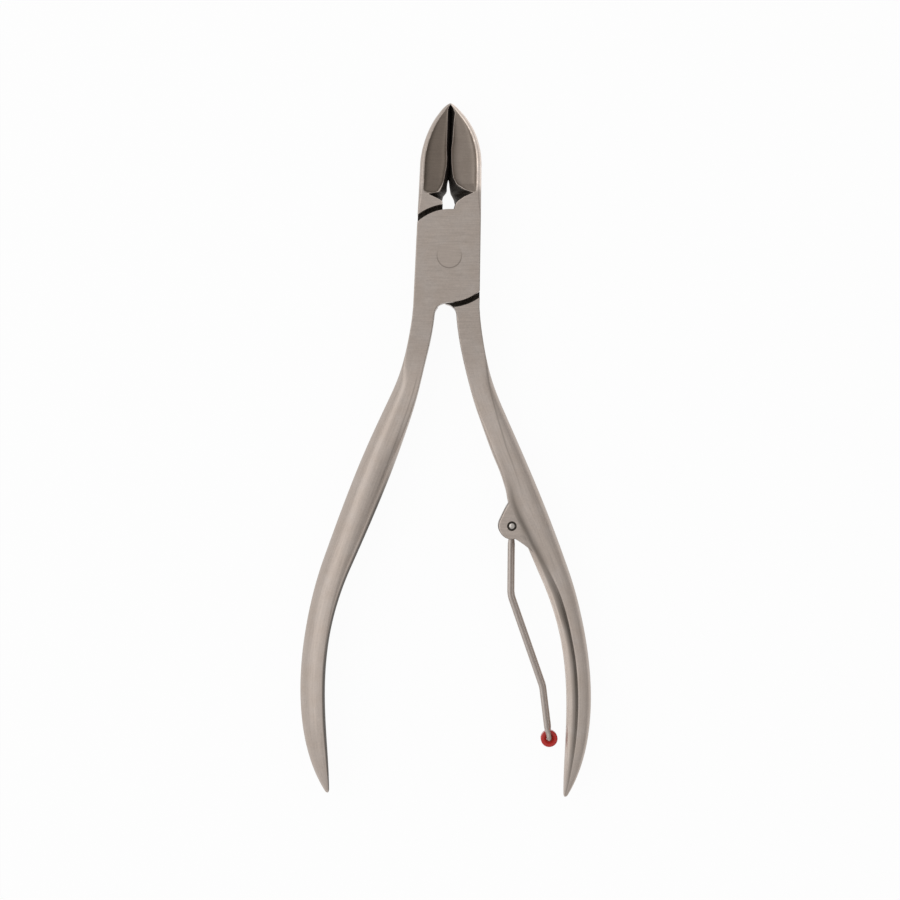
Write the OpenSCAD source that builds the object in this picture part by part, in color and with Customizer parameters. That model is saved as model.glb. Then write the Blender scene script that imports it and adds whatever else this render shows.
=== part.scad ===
// Nail nipper of the pliers type: two crossed levers on a lap joint, with a swing-out roller spring.
// It lies on its rear face. The rivet's axis is Z, and the jaws point along +Y.

/* [Head] */
// Thickness of the head from the rear face to the front face
head_t = 7; // [6:0.5:9]
// Radius of the round cheek edge about the rivet
cheek_r = 8; // [7:0.1:9]
// Gap between a cheek's round edge and the other lever's shoulder
shoulder_gap = 0.9; // [0.5:0.05:1.5]
// Gap between the two cheeks' sliding faces
lap_gap = 0.06; // [0.04:0.01:0.1]
// Diameter of the joint rivet
rivet_d = 4.4; // [3:0.1:6]
// Radial clearance of the rivet in the lever that turns on it
rivet_clearance = 0.03; // [0.01:0.01:0.1]

/* [Jaws] */
// Distance from the rivet to the jaw tips
tip_y = 26.5; // [24:0.5:32]
// Width of the left jaw from the cutting line to its side
left_jaw_w = 5.2; // [4.5:0.05:6]
// Radius of the left jaw's rounded side
left_jaw_r = 13.2; // [9:0.1:16]
// Width of the right jaw from the cutting line to its side
right_jaw_w = 5.45; // [4.5:0.05:6]
// Radius of the right jaw's rounded side
right_jaw_r = 11; // [9:0.1:16]
// Distance from the rivet at which the jaws start to thin
taper_y = 10; // [9.5:0.1:12]
// Drop of the front face from there to the tip
front_drop = 2; // [0.5:0.1:2.5]
// Rise of the rear face from there to the tip
rear_rise = 1.4; // [0.5:0.1:2]
// Gap between the two cutting edges when closed
edge_gap = 0.04; // [0.02:0.01:0.1]
// Angle of each inner flank from the cutting line to the front
flank_angle = 5; // [3:0.5:8]
// Width of the rim left outside each ground hollow
hollow_rim = 0.55; // [0.4:0.05:1]
// Width of the land left inside each ground hollow
hollow_land = 0.35; // [0.25:0.05:0.6]
// Depth of each ground hollow
hollow_depth = 0.9; // [0.5:0.05:1.2]
// Distance from the rivet to the middle of each hollow's lower lip
hollow_y = 11; // [10.5:0.1:13]
// Slope of that lip towards the cutting line
lip_angle = 30; // [0:1:45]
// Radius of the round window between the jaws
window_r = 1; // [0.6:0.05:1.3]
// Distance from the rivet to that window's centre
window_y = 9.7; // [9.5:0.1:11]
// Distance from the rivet to the top of the slit above the window
slit_y = 13.5; // [12:0.1:16]
// Width of the slit where it leaves the window
slit_w = 0.9; // [0.4:0.05:1.2]
// Radius of the relief around the window at the front face
relief_r = 2; // [1.4:0.05:2.4]
// Depth of that relief
relief_depth = 2.2; // [1:0.1:2.6]

/* [Handles] */
// Distance of the crotch between the handles below the cheeks' round edge
crotch_drop = 0.15; // [0.1:0.05:0.5]
// Distance below the rivet at which the handles start
neck_y = 9; // [8.8:0.1:12]
// Length of a handle along its centre line
handle_l = 87.9; // [80:0.1:100]
// Radius of the outward bend below the neck
neck_bend_r = 58; // [40:1:90]
// Length of the straight stretch
straight_l = 30; // [22:0.5:36]
// Radius of the inward bend of the grip
grip_bend_r = 60; // [52:1:90]
// Width of the neck
neck_w = 3.75; // [3.2:0.05:4.2]
// Thickness of the rounded handle where it leaves the neck
neck_t = 6.4; // [5:0.1:6.8]
// Greatest width of the left handle
left_swell_w = 5.7; // [5:0.1:6.5]
// Greatest width of the right handle
right_swell_w = 5.4; // [5:0.1:6.5]
// Greatest thickness of the handles
swell_t = 7; // [6:0.1:8]
// Place along the handle where it starts to widen
neck_end = 5; // [3:0.5:9]
// Place along the left handle of its greatest width
left_swell_at = 31; // [24:0.5:40]
// Place along the right handle of its greatest width
right_swell_at = 38; // [30:0.5:44]
// Place along the handle where its end starts to taper
grip_at = 62; // [55:0.5:70]
// Width of the grip there
grip_w = 4.35; // [3.8:0.05:5]
// Thickness of the grip there
grip_t = 6; // [4:0.1:7]
// Width of the handle's tip
tip_w = 0.9; // [0.6:0.05:1.5]
// Thickness of the handle's tip
tip_t = 2.2; // [1.5:0.1:3]
// Length of the flat shank along the outer side of the neck
shank_outer = 8; // [6:0.5:11]
// Length of the flat shank along the inner side of the neck
shank_inner = 12; // [6:0.5:14]
// Amount by which the flat shank stands proud of the rounded neck on each side
shank_proud = 0.12; // [0.08:0.01:0.2]
// Distance of the left handle's centre line from the rivet at the neck
left_neck_x = 4.15; // [3.9:0.05:4.6]
// Splay of the left handle at the neck
left_neck_angle = 5; // [2:0.5:8]
// Splay of the left handle's straight stretch
left_splay = 21.4; // [18:0.1:24]
// Distance of the right handle's centre line from the rivet at the neck
right_neck_x = 3.3; // [3:0.05:4.2]
// Splay of the right handle at the neck
right_neck_angle = 4; // [2:0.5:8]
// Splay of the right handle's straight stretch
right_splay = 22.1; // [18:0.1:24]

/* [Spring] */
// Place along the right handle of the spring's lug
lug_at = 38; // [34:0.5:42]
// Distance of the lug's pin from the handle's centre line
lug_reach = 3.9; // [3.6:0.1:5]
// Radius of the lug's round end
lug_r = 2.3; // [2.1:0.05:2.8]
// Thickness of the lug
lug_t = 6.2; // [5.8:0.1:6.6]
// Length of the lug's slope towards the neck
lug_slope_up = 4.5; // [3.5:0.1:6]
// Length of the lug's slope towards the tip
lug_slope_down = 4; // [3.5:0.1:6]
// Diameter of the lug's pin
pin_d = 1.04; // [0.8:0.02:1.1]
// Width of the recess ring around each end of the pin
pin_recess_w = 0.28; // [0.1:0.02:0.4]
// Depth of that recess
pin_recess_depth = 0.25; // [0.1:0.05:0.4]
// Diameter of the spring's wire
wire_d = 0.85; // [0.6:0.05:0.95]
// Distance between the centres of the spring's two legs
leg_spacing = 3.2; // [2.8:0.1:3.4]
// Radial clearance of the spring's eyes on the pin
eye_clearance = 0.05; // [0.02:0.01:0.1]
// Clearance between the spring and the walls of the lug's slot
slot_clearance = 0.1; // [0.05:0.01:0.2]
// Clearance between the spring's eyes and the floor of the lug's slot
slot_floor_clearance = 0.25; // [0.15:0.01:0.4]
// Lengths of the leg's three straight runs from the pin to the roller
leg_1 = 11.3; // [8:0.1:14]
// Second run
leg_2 = 17.4; // [12:0.1:20]
// Third run
leg_3 = 9.1; // [6:0.1:12]
// Angle of the first run from straight down, positive to the right
leg_1_angle = 0; // [-2:0.5:4]
// Angle of the second run
leg_2_angle = 19; // [10:0.5:20]
// Angle of the third run
leg_3_angle = 7.5; // [0:0.5:8]
// Bend radius of the leg between its runs, at the wire's centre
bend_r = 2; // [1:0.1:4]
// Bend radius of the turn into the cross bar, at the wire's centre
corner_r = 0.5; // [0.48:0.01:0.6]
// Bend radius between the eye and the leg, at the wire's centre
eye_lead_r = 0.6; // [0.5:0.05:1]
// Angle around the pin at which the eye ends
eye_turn = 215; // [180:1:220]
// Outer diameter of the roller
roller_d = 2.9; // [2:0.1:3.4]
// Diameter of the countersink around each end of the roller's hole
countersink_d = 1.7; // [1.2:0.05:1.9]
// Depth of that countersink
countersink_depth = 0.3; // [0.1:0.05:0.5]
// Radial clearance of the roller on the wire
roller_clearance = 0.05; // [0.02:0.01:0.1]
// Clearance between the roller's ends and the legs
roller_end_clearance = 0.08; // [0.05:0.01:0.2]

/* [Hidden] */
$fn = 64;

// A margin by which cutting solids pass the faces that they cut
over = 1;
// Place along the handle where its rounded form starts, inside the flat shank
sweep_start = 1;
// Rings along a handle and points around each ring
handle_rings = 34;
ring_points = 24;
// Superellipse exponents of the handle's section, at the neck and at the grip
neck_square = 5;
grip_square = 2.4;
// Points around the wire, rings along its eye and rings along each bend
wire_points = 14;
eye_steps = 14;
bend_steps = 5;
// Power of the taper at the handle's end
taper_power = 4;

mid_z = head_t / 2;
// A length past the nipper's end on every side
reach = neck_y + handle_l;
shoulder_r = cheek_r + shoulder_gap;
front_slope = atan(front_drop / (tip_y - taper_y));
rear_slope = atan(rear_rise / (tip_y - taper_y));
steel = [0.66, 0.63, 0.61];

// A side is [distance at the neck, splay at the neck, splay, swell width, place of the swell, jaw width,
// jaw radius], drawn to the right of the rivet
left = [left_neck_x, left_neck_angle, left_splay, left_swell_w, left_swell_at, left_jaw_w, left_jaw_r];
right = [right_neck_x, right_neck_angle, right_splay, right_swell_w, right_swell_at, right_jaw_w, right_jaw_r];

// Centre line: an arc outward, a straight stretch, an arc inward, by the length s along it
function bend_l(h) = neck_bend_r * (h[2] - h[1]) * PI / 180;
function angle_at(h, s) =
    s < bend_l(h) ? h[1] + s / neck_bend_r * 180 / PI
    : s < bend_l(h) + straight_l ? h[2]
    : h[2] - (s - bend_l(h) - straight_l) / grip_bend_r * 180 / PI;
function along(a) = [sin(a), -cos(a)];
function outward(a) = [cos(a), sin(a)];
function bend_pt(h, a) = [h[0], -neck_y] + neck_bend_r * (outward(h[1]) - outward(a));
function straight_pt(h, s) = bend_pt(h, h[2]) + (s - bend_l(h)) * along(h[2]);
function grip_pt(h, a) =
    straight_pt(h, bend_l(h) + straight_l) + grip_bend_r * (outward(a) - outward(h[2]));
function centre_at(h, s) =
    s < bend_l(h) ? bend_pt(h, angle_at(h, s))
    : s < bend_l(h) + straight_l ? straight_pt(h, s)
    : grip_pt(h, angle_at(h, s));
function beside(h, s, d) = centre_at(h, s) + d * outward(angle_at(h, s));

// Smooth change from a to b while s goes from s0 to s1
function ease(s, s0, s1, a, b) =
    s <= s0 ? a
    : s >= s1 ? b
    : a + (b - a) * (1 - cos(180 * (s - s0) / (s1 - s0))) / 2;
function swelling(s, at, neck, swell, grip) =
    s < at ? ease(s, neck_end, at, neck, swell) : ease(s, at, grip_at, swell, grip);
function tapering(s, body, tip) =
    s < grip_at ? body : tip + (body - tip) * (1 - pow((s - grip_at) / (handle_l - grip_at), taper_power));
function width_at(h, s) = tapering(s, swelling(s, h[4], neck_w, h[3], grip_w), tip_w);
function thick_at(h, s) = tapering(s, swelling(s, h[4], neck_t, swell_t, grip_t), tip_t);
function square_at(s) = ease(s, neck_end, grip_at / 2, neck_square, grip_square);
function bulge(c, n) = sign(c) * pow(abs(c), 2 / n);

// One ring of a handle: a superellipse across the centre line
function ring(h, s) = [
    for (j = [0 : ring_points - 1])
        let (
            a = 360 * (j + 0.5) / ring_points,
            p = beside(h, s, width_at(h, s) / 2 * bulge(cos(a), square_at(s)))
        )
        [p[0], p[1], mid_z + thick_at(h, s) / 2 * bulge(sin(a), square_at(s))]
];

// Closed solid through rings of equally many points, each turning right-handed about the way ahead
module tube(rings) {
    n = len(rings[0]);
    last = (len(rings) - 1) * n;
    sides = [
        for (i = [0 : len(rings) - 2], j = [0 : n - 1])
            let (
                a = i * n + j,
                b = i * n + (j + 1) % n
            )
            each [[a, b + n, b], [a, a + n, b + n]]
    ];
    ends = [
        for (j = [1 : n - 2])
            each [[0, j, j + 1], [last, last + j + 1, last + j]]
    ];
    polyhedron([for (r = rings) each r], concat(sides, ends));
}

module handle(h) {
    tube([
        for (i = [0 : handle_rings])
            ring(h, sweep_start + (handle_l - sweep_start) * i / handle_rings)
    ]);
}

// The crotch is a round arch between the two necks, just under the cheeks
plate_w = neck_w / 2 + shank_proud;
crotch_left = -beside(left, 0, -plate_w)[0];
crotch_right = beside(right, 0, -plate_w)[0];
crotch_x = (crotch_left + crotch_right) / 2;
crotch_r = (crotch_right - crotch_left) / 2;
crotch_y = -cheek_r - crotch_drop - crotch_r;

// Outline of the head on the right of the crotch: arch, flat shank, straight side, start of the jaw's rounding
function jaw_side_y(h) = tip_y - sqrt(h[6] * h[6] - (h[6] - h[5]) * (h[6] - h[5]));
function half_points(h, foot_x) = [
    [foot_x + crotch_r, crotch_y],
    beside(h, shank_inner / 2, -plate_w),
    beside(h, shank_inner, -plate_w),
    beside(h, shank_outer, plate_w),
    beside(h, shank_outer / 2, plate_w),
    beside(h, 0, plate_w),
    [h[5], jaw_side_y(h)],
    [0, jaw_side_y(h)]
];
function flipped(points) = [for (i = [len(points) - 1 : -1 : 0]) [-points[i][0], points[i][1]]];

// Rounded end of a jaw on the right of the cutting line
module jaw_end_plan(h) {
    side_y = jaw_side_y(h);
    intersection() {
        translate([h[5] - h[6], side_y])
            circle(h[6], $fn = 128);
        translate([0, side_y])
            square([h[5], tip_y - side_y]);
    }
}

// Plan of the closed head, from the flat shanks to the jaw tips
module head_plan() {
    difference() {
        polygon(concat(half_points(right, crotch_x), flipped(half_points(left, -crotch_x))));
        translate([crotch_x, crotch_y])
            circle(crotch_r);
    }
    jaw_end_plan(right);
    mirror([1, 0, 0])
        jaw_end_plan(left);
}

// One lever's share of that plan: its cheek, its jaw on the side given by sign and the neck opposite
module lever_plan(side) {
    intersection() {
        head_plan();
        union() {
            circle(cheek_r, $fn = 128);
            translate([side > 0 ? 0 : -reach, 0])
                square(reach);
            translate([side > 0 ? crotch_x - reach : crotch_x, -reach])
                square(reach);
        }
    }
}

// Side view of the head: the jaws thin towards the tip
module head_side() {
    translate([-reach, 0, 0])
        rotate([90, 0, 90])
            linear_extrude(2 * reach)
                polygon([
                    [-reach, 0],
                    [taper_y, 0],
                    [tip_y, rear_rise],
                    [tip_y, head_t - front_drop],
                    [taper_y, head_t],
                    [-reach, head_t]
                ]);
}

// Ground hollow in the front of a jaw on the right of the cutting line
module jaw_hollow(h) {
    w = h[5];
    r = h[6];
    side_y = jaw_side_y(h);
    inner_x = edge_gap / 2 + head_t * tan(flank_angle) + hollow_land;
    chord = w - hollow_rim - inner_x;
    wheel_r = chord * chord / (8 * hollow_depth) + hollow_depth / 2;
    track_x = w - hollow_rim - chord / 2;
    track_z = wheel_r - hollow_depth;
    translate([0, taper_y, head_t])
        rotate([-front_slope, 0, 0])
            translate([0, -taper_y, track_z])
                intersection() {
                    union() {
                        translate([w - r, side_y, 0])
                            rotate_extrude($fn = 128)
                                translate([track_x - w + r, 0])
                                    circle(wheel_r);
                        translate([track_x, side_y, 0])
                            rotate([90, 0, 0])
                                cylinder(h = side_y, r = wheel_r);
                    }
                    translate([track_x, hollow_y, -wheel_r - over])
                        rotate([0, 0, lip_angle])
                            translate([-2 * w, 0, 0])
                                cube([4 * w, 2 * tip_y, 2 * wheel_r + 2 * over]);
                    translate([inner_x, 0, -wheel_r - over])
                        cube([w, 2 * tip_y, 2 * wheel_r + 2 * over]);
                }
}

// Everything that is cut away along the inner side of a jaw on the right of the cutting line
module jaw_inner_cut() {
    flank_y = shoulder_r - shoulder_gap / 2;
    translate([edge_gap / 2, taper_y, 0])
        rotate([rear_slope, 0, 0])
            rotate([0, flank_angle, 0])
                translate([-head_t, flank_y - taper_y, -head_t])
                    cube([head_t, tip_y, 3 * head_t]);
    translate([0, 0, -over])
        linear_extrude(head_t + 2 * over) {
            translate([0, window_y])
                circle(window_r);
            polygon([
                [-slit_w / 2, window_y],
                [slit_w / 2, window_y],
                [0, slit_y]
            ]);
        }
    translate([0, window_y + relief_r - window_r, head_t - relief_depth])
        cylinder(h = relief_depth + over, r1 = window_r / 2, r2 = relief_r);
}

// Bore for the joint rivet, with a radial clearance
module rivet_bore(clearance) {
    translate([0, 0, -over])
        cylinder(h = head_t + 2 * over, d = rivet_d + 2 * clearance);
}

// Room for the other lever's cheek and for its shoulder's gap, from z up to top
module lap_cut(z, top) {
    translate([0, 0, z])
        cylinder(h = top - z, r = shoulder_r, $fn = 128);
}

// Flat forging of one lever, before the lap, the bores and the jaw are cut
module blank(side) {
    intersection() {
        linear_extrude(head_t)
            lever_plan(side);
        head_side();
    }
}

// Left handle, front cheek and right jaw
module front_lever() {
    color(steel)
        difference() {
            union() {
                blank(1);
                mirror([1, 0, 0])
                    handle(left);
            }
            lap_cut(-over, mid_z + lap_gap / 2);
            rivet_bore(0);
            jaw_inner_cut();
            jaw_hollow(right);
        }
}

// Right handle with the spring's lug, rear cheek and left jaw
module rear_lever() {
    color(steel)
        difference() {
            union() {
                blank(-1);
                handle(right);
                lug();
            }
            lap_cut(mid_z - lap_gap / 2, head_t + over);
            rivet_bore(rivet_clearance);
            mirror([1, 0, 0]) {
                jaw_inner_cut();
                jaw_hollow(left);
            }
            lug_slot();
            pin_bore();
        }
}

// Spring lug: a round end around the pin, with a slope on each side down to the handle
pin_at = beside(right, lug_at, -lug_reach);
eye_r = pin_d / 2 + eye_clearance + wire_d / 2;
slot_w = leg_spacing + wire_d + 2 * slot_clearance;
slot_r = eye_r + wire_d / 2 + slot_floor_clearance;

// Point where a line from p touches the lug's round end, on the side given by sign
function touch(p, side) =
    let (
        d = p - pin_at,
        a = atan2(d[1], d[0]) + side * acos(lug_r / norm(d))
    )
    pin_at + lug_r * [cos(a), sin(a)];

module lug() {
    up = beside(right, lug_at - lug_slope_up, -width_at(right, lug_at - lug_slope_up) / 2);
    down = beside(right, lug_at + lug_slope_down, -width_at(right, lug_at + lug_slope_down) / 2);
    translate([0, 0, mid_z - lug_t / 2])
        linear_extrude(lug_t) {
            translate(pin_at)
                circle(lug_r);
            polygon([
                pin_at,
                touch(up, 1),
                up,
                centre_at(right, lug_at - lug_slope_up),
                centre_at(right, lug_at + lug_slope_down),
                down,
                touch(down, -1)
            ]);
        }
}

// Slot across the lug for the spring's two eyes, open towards the left handle and downwards
module lug_slot() {
    past = lug_r + over;
    translate([pin_at[0], pin_at[1], mid_z - slot_w / 2]) {
        cylinder(h = slot_w, r = slot_r);
        translate([-past, -past, 0])
            cube([past + wire_d / 2 + slot_floor_clearance, past, slot_w]);
    }
}

module pin_bore() {
    translate([pin_at[0], pin_at[1], 0]) {
        translate([0, 0, -over])
            cylinder(h = head_t + 2 * over, d = pin_d);
        for (z = [mid_z - lug_t / 2 - over, mid_z + lug_t / 2 - pin_recess_depth])
            translate([0, 0, z])
                cylinder(h = over + pin_recess_depth, d = pin_d + 2 * pin_recess_w);
    }
}

module joint_rivet() {
    color([0.6, 0.57, 0.55])
        cylinder(h = head_t, d = rivet_d);
}

module spring_pin() {
    color([0.55, 0.53, 0.52])
        translate([pin_at[0], pin_at[1], mid_z - lug_t / 2])
            cylinder(h = lug_t, d = pin_d);
}

// Spring: the leg's turning points, from the pin to the roller
bend_1 = pin_at + leg_1 * along(leg_1_angle);
bend_2 = bend_1 + leg_2 * along(leg_2_angle);
roller_at = bend_2 + leg_3 * along(leg_3_angle);

// Places on the leg are [point, heading], where the heading turns like the angle in along()
// Eye: round the pin, then a small arc the other way until the leg points away from the pin
hook_r = eye_r + eye_lead_r;
hook_end = -acos(eye_lead_r / hook_r);
eye_places = [
    for (i = [0 : eye_steps])
        let (a = leg_1_angle + eye_turn + (hook_end - eye_turn) * i / eye_steps)
        [pin_at + eye_r * outward(a), a]
];
lead_places = [
    for (i = [1 : bend_steps])
        let (a = leg_1_angle + hook_end * (1 - i / bend_steps))
        [pin_at + hook_r * outward(leg_1_angle + hook_end) - eye_lead_r * outward(a), a]
];

// Round bend at v, from heading a to heading b
function bend_places(v, a, b) =
    let (
        side = sign(b - a),
        centre = v - bend_r * tan(abs(b - a) / 2) * along(a) + side * bend_r * outward(a)
    )
    [
        for (i = [0 : bend_steps])
            let (c = a + (b - a) * i / bend_steps)
            [centre - side * bend_r * outward(c), c]
    ];

leg_places = concat(
    eye_places,
    lead_places,
    bend_places(bend_1, leg_1_angle, leg_2_angle),
    bend_places(bend_2, leg_2_angle, leg_3_angle)
);

// Ring of the wire around p, across the directions u and v
function wire_ring(p, u, v) = [
    for (j = [0 : wire_points - 1])
        let (a = 360 * j / wire_points)
        p + wire_d / 2 * (cos(a) * u + sin(a) * v)
];
function lift(p, z) = [p[0], p[1], z];

// Ring of a leg on the side of the middle plane given by sign
function leg_ring(place, side) =
    wire_ring(lift(place[0], mid_z + side * leg_spacing / 2), lift(outward(place[1]), 0), [0, 0, side]);

// Ring of the turn from a leg into the cross bar, at angle a of the turn
function corner_ring(a, side) =
    let (
        ahead = lift(along(leg_3_angle), 0),
        centre = lift(roller_at, mid_z + side * (leg_spacing / 2 - corner_r)) - corner_r * ahead,
        v = [0, 0, side * cos(a)] + sin(a) * ahead
    )
    wire_ring(centre + corner_r * v, lift(outward(leg_3_angle), 0), v);

module spring_wire() {
    n = len(leg_places);
    color([0.5, 0.48, 0.47])
        tube([
            for (i = [0 : n - 1])
                leg_ring(leg_places[i], 1),
            for (i = [0 : bend_steps])
                corner_ring(90 * i / bend_steps, 1),
            for (i = [bend_steps : -1 : 0])
                corner_ring(90 * i / bend_steps, -1),
            for (i = [n - 1 : -1 : 0])
                leg_ring(leg_places[i], -1)
        ]);
}

module roller() {
    roller_l = leg_spacing - wire_d - 2 * roller_end_clearance;
    hole_d = wire_d + 2 * roller_clearance;
    color([0.75, 0.12, 0.1])
        translate([roller_at[0], roller_at[1], mid_z - roller_l / 2])
            difference() {
                cylinder(h = roller_l, d = roller_d);
                translate([0, 0, -over])
                    cylinder(h = roller_l + 2 * over, d = hole_d);
                translate([0, 0, roller_l - countersink_depth])
                    cylinder(h = countersink_depth, d1 = hole_d, d2 = countersink_d);
                cylinder(h = countersink_depth, d1 = countersink_d, d2 = hole_d);
            }
}

front_lever();
rear_lever();
joint_rivet();
spring_pin();
spring_wire();
roller();
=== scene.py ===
"""Looks of a pliers-type nail nipper: two crossed steel levers, a rivet, a wire spring and its roller.

Lengths are worked out in millimetres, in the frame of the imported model, and become metres in the meshes.
"""

from types import SimpleNamespace

import bpy
import numpy as np
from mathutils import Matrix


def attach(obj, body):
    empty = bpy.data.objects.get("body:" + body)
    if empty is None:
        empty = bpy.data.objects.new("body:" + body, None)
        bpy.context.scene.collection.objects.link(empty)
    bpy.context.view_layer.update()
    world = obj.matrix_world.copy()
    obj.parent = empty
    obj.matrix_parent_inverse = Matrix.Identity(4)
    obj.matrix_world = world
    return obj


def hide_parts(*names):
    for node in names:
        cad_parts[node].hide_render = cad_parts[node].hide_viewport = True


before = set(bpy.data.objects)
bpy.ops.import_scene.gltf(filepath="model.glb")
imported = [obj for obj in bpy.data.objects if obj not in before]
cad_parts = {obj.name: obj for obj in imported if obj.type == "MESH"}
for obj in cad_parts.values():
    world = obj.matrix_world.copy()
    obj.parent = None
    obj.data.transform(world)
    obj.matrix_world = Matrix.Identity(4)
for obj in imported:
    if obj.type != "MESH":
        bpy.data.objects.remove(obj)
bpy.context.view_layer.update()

bl_info = {
    "name": "Nail nipper",
    "version": (1, 0, 0),
    "blender": (4, 5, 0),
    "location": "View3D > Sidebar > Nipper",
    "description": "Builds the finished pieces of a nail nipper and its photo stage",
    "category": "Object",
}

MM = 0.001

# Places around a lever: across its upper face, down a wall, and across each inner part of its lower face
TOP_COLUMNS = 46
SIDE_COLUMNS = 9
STEP_COLUMNS = 26
WALL = np.linspace(0, 1, SIDE_COLUMNS + 2)[1:-1]


def number(default, name, description, factor=1.0, **options):
    """A number property, or a pair of numbers for the left and the right side."""
    options.update(name=name, description=description)
    if isinstance(default, tuple):
        values = [value * factor for value in default]
        return bpy.props.FloatVectorProperty(default=values, size=2, **options)
    return bpy.props.FloatProperty(default=default * factor, **options)


def length(default, name, description):
    """A length or a pair of lengths, given in millimetres."""
    return number(default, name, description, MM, unit="LENGTH", precision=5)


def angle(default, name, description):
    """An angle or a pair of angles, given in degrees."""
    return number(default, name, description, np.pi / 180, unit="ROTATION")


def colour(default, name, description):
    """A linear colour property."""
    return bpy.props.FloatVectorProperty(
        name=name, description=description, default=default, size=3, subtype="COLOR", min=0, max=1
    )


class NipperSizes(bpy.types.PropertyGroup):
    """Sizes of the nipper. A pair is the left side's size and the right side's."""

    head_t: length(7, "Head thickness", "From the rear face to the front face")
    cheek_r: length(8, "Cheek radius", "Round cheek edge about the rivet")
    shoulder_gap: length(0.9, "Shoulder gap", "Between a cheek's edge and the other lever's shoulder")
    lap_gap: length(0.06, "Lap gap", "Between the sliding faces")
    rivet_d: length(4.4, "Rivet diameter", "Joint rivet")
    rivet_proud: length(0.002, "Rivet height", "Height of the rivet's ends over the cheeks")
    tip_y: length(26.48, "Jaw length", "From the rivet to the jaw tips")
    jaw_w: length((5.2, 5.43), "Jaw width", "From the cutting line to the side")
    jaw_fall: number((1.75, 2.2), "Jaw fall", "Power by which a side leaves its straight line")
    jaw_close: number((0.68, 0.8), "Jaw closing", "Power by which a side closes at the tip")
    jaw_side_y: length(15.5, "Jaw side end", "From the rivet to where the jaws' sides turn in")
    taper_y: length(10, "Jaw taper start", "Where the jaws start to thin")
    front_drop: length(2, "Front drop", "Drop of the front face at the tip")
    rear_rise: length(1.4, "Rear rise", "Rise of the rear face at the tip")
    hollow_depth: length(0.6, "Hollow depth", "Deepest place of a ground hollow")
    hollow_wheel: length(2.5, "Grinding radius", "Radius of the wheel that ground the hollows")
    crotch_drop: length(0.15, "Crotch drop", "Crotch below the cheeks' round edge")
    neck_y: length(9, "Neck", "Below the rivet, where the handles start")
    neck_x: length((4.15, 3.3), "Neck place", "Handle's centre line at the neck")
    neck_angle: angle((5, 4), "Neck splay", "Handle's splay at the neck")
    splay: angle((21.4, 22.1), "Splay", "Handle's straight stretch")
    handle_l: length(87.9, "Handle length", "Along the centre line")
    short: length((0.5, 0), "Handle relief", "Taken off the handle's end")
    neck_bend_r: length(58, "Neck bend", "Radius of the outward bend")
    straight_l: length(30, "Straight length", "Straight stretch of the handle")
    grip_bend_r: length(60, "Grip bend", "Radius of the inward bend")
    neck_w: length(3.75, "Neck width", "Width of the rounded neck")
    neck_t: length(6.4, "Neck thickness", "Rounded handle at the neck")
    slim: length((0.3, 0), "Neck relief", "Taken off the inner side of the neck")
    shank_proud: length(0.12, "Shank edge", "Flat shank beyond the rounded neck")
    swell_w: length((5.7, 5.4), "Swell", "Greatest width of the handle")
    swell_at: length((31, 38), "Swell place", "Along the handle")
    swell_t: length(6.96, "Swell thickness", "Greatest thickness of the handles")
    grip_at: length(62, "Taper place", "Where the handle's end starts to taper")
    grip_w: length(4.27, "Grip width", "Width there")
    grip_t: length(6, "Grip thickness", "Thickness there")
    tip_w: length(0.5, "Handle tip width", "Width of the tip")
    tip_t: length(2.2, "Handle tip thickness", "Thickness of the tip")
    lug_at: length(38, "Lug place", "Along the right handle")
    lug_reach: length(3.9, "Lug reach", "Pin from the handle's centre line")
    lug_r: length(2.3, "Lug radius", "Round end of the lug")
    lug_t: length(6.2, "Lug thickness", "Across both ears")
    lug_slope_up: length(4.4, "Upper slope", "Lug's slope towards the neck")
    lug_slope_down: length(4.4, "Lower slope", "Lug's slope towards the tip")
    pin_d: length(1.04, "Pin diameter", "Pin across the lug")
    recess_w: length(0.28, "Recess width", "Ring around the pin's ends")
    recess_depth: length(0.25, "Recess depth", "Depth of that ring")
    wire_d: length(0.85, "Wire diameter", "Spring wire")
    leg_spacing: length(3.2, "Leg spacing", "Between the two legs' centres")
    leg_aside: length(0.24, "Leg offset", "Of each leg to its side, so that the rear one shows")
    slot_w: length(4.25, "Slot width", "Slot across the lug")
    slot_r: length(1.67, "Slot floor", "Radius of the slot's floor about the pin")
    leg_1: length(11.95, "First run", "From the pin")
    leg_2: length(16.79, "Second run", "Between the bends")
    leg_3: length(9.1, "Third run", "To the roller")
    leg_1_angle: angle(0, "First angle", "From straight down")
    leg_2_angle: angle(19.7, "Second angle", "From straight down")
    leg_3_angle: angle(7.5, "Third angle", "From straight down")
    bend_r: length(5, "Wire bend", "Bends between the runs")
    corner_r: length(0.5, "Wire corner", "Turn into the cross bar")
    eye_lead_r: length(0.6, "Eye lead", "Bend between the eye and the leg")
    eye_clearance: length(0.05, "Eye clearance", "Between the eye and the pin")
    eye_turn: angle(215, "Eye turn", "Angle around the pin where the eye ends")
    roller_d: length(2.9, "Roller diameter", "Outside of the roller")
    roller_l: length(2.19, "Roller length", "Between the two legs")
    roller_edge: length(0.22, "Roller edge", "Rounding of the roller's ends")
    roller_hole: length(0.95, "Roller hole", "Hole for the wire")
    countersink_d: length(1.7, "Countersink", "Around each end of the hole")
    countersink_depth: length(0.3, "Countersink depth", "Depth of that countersink")


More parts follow.
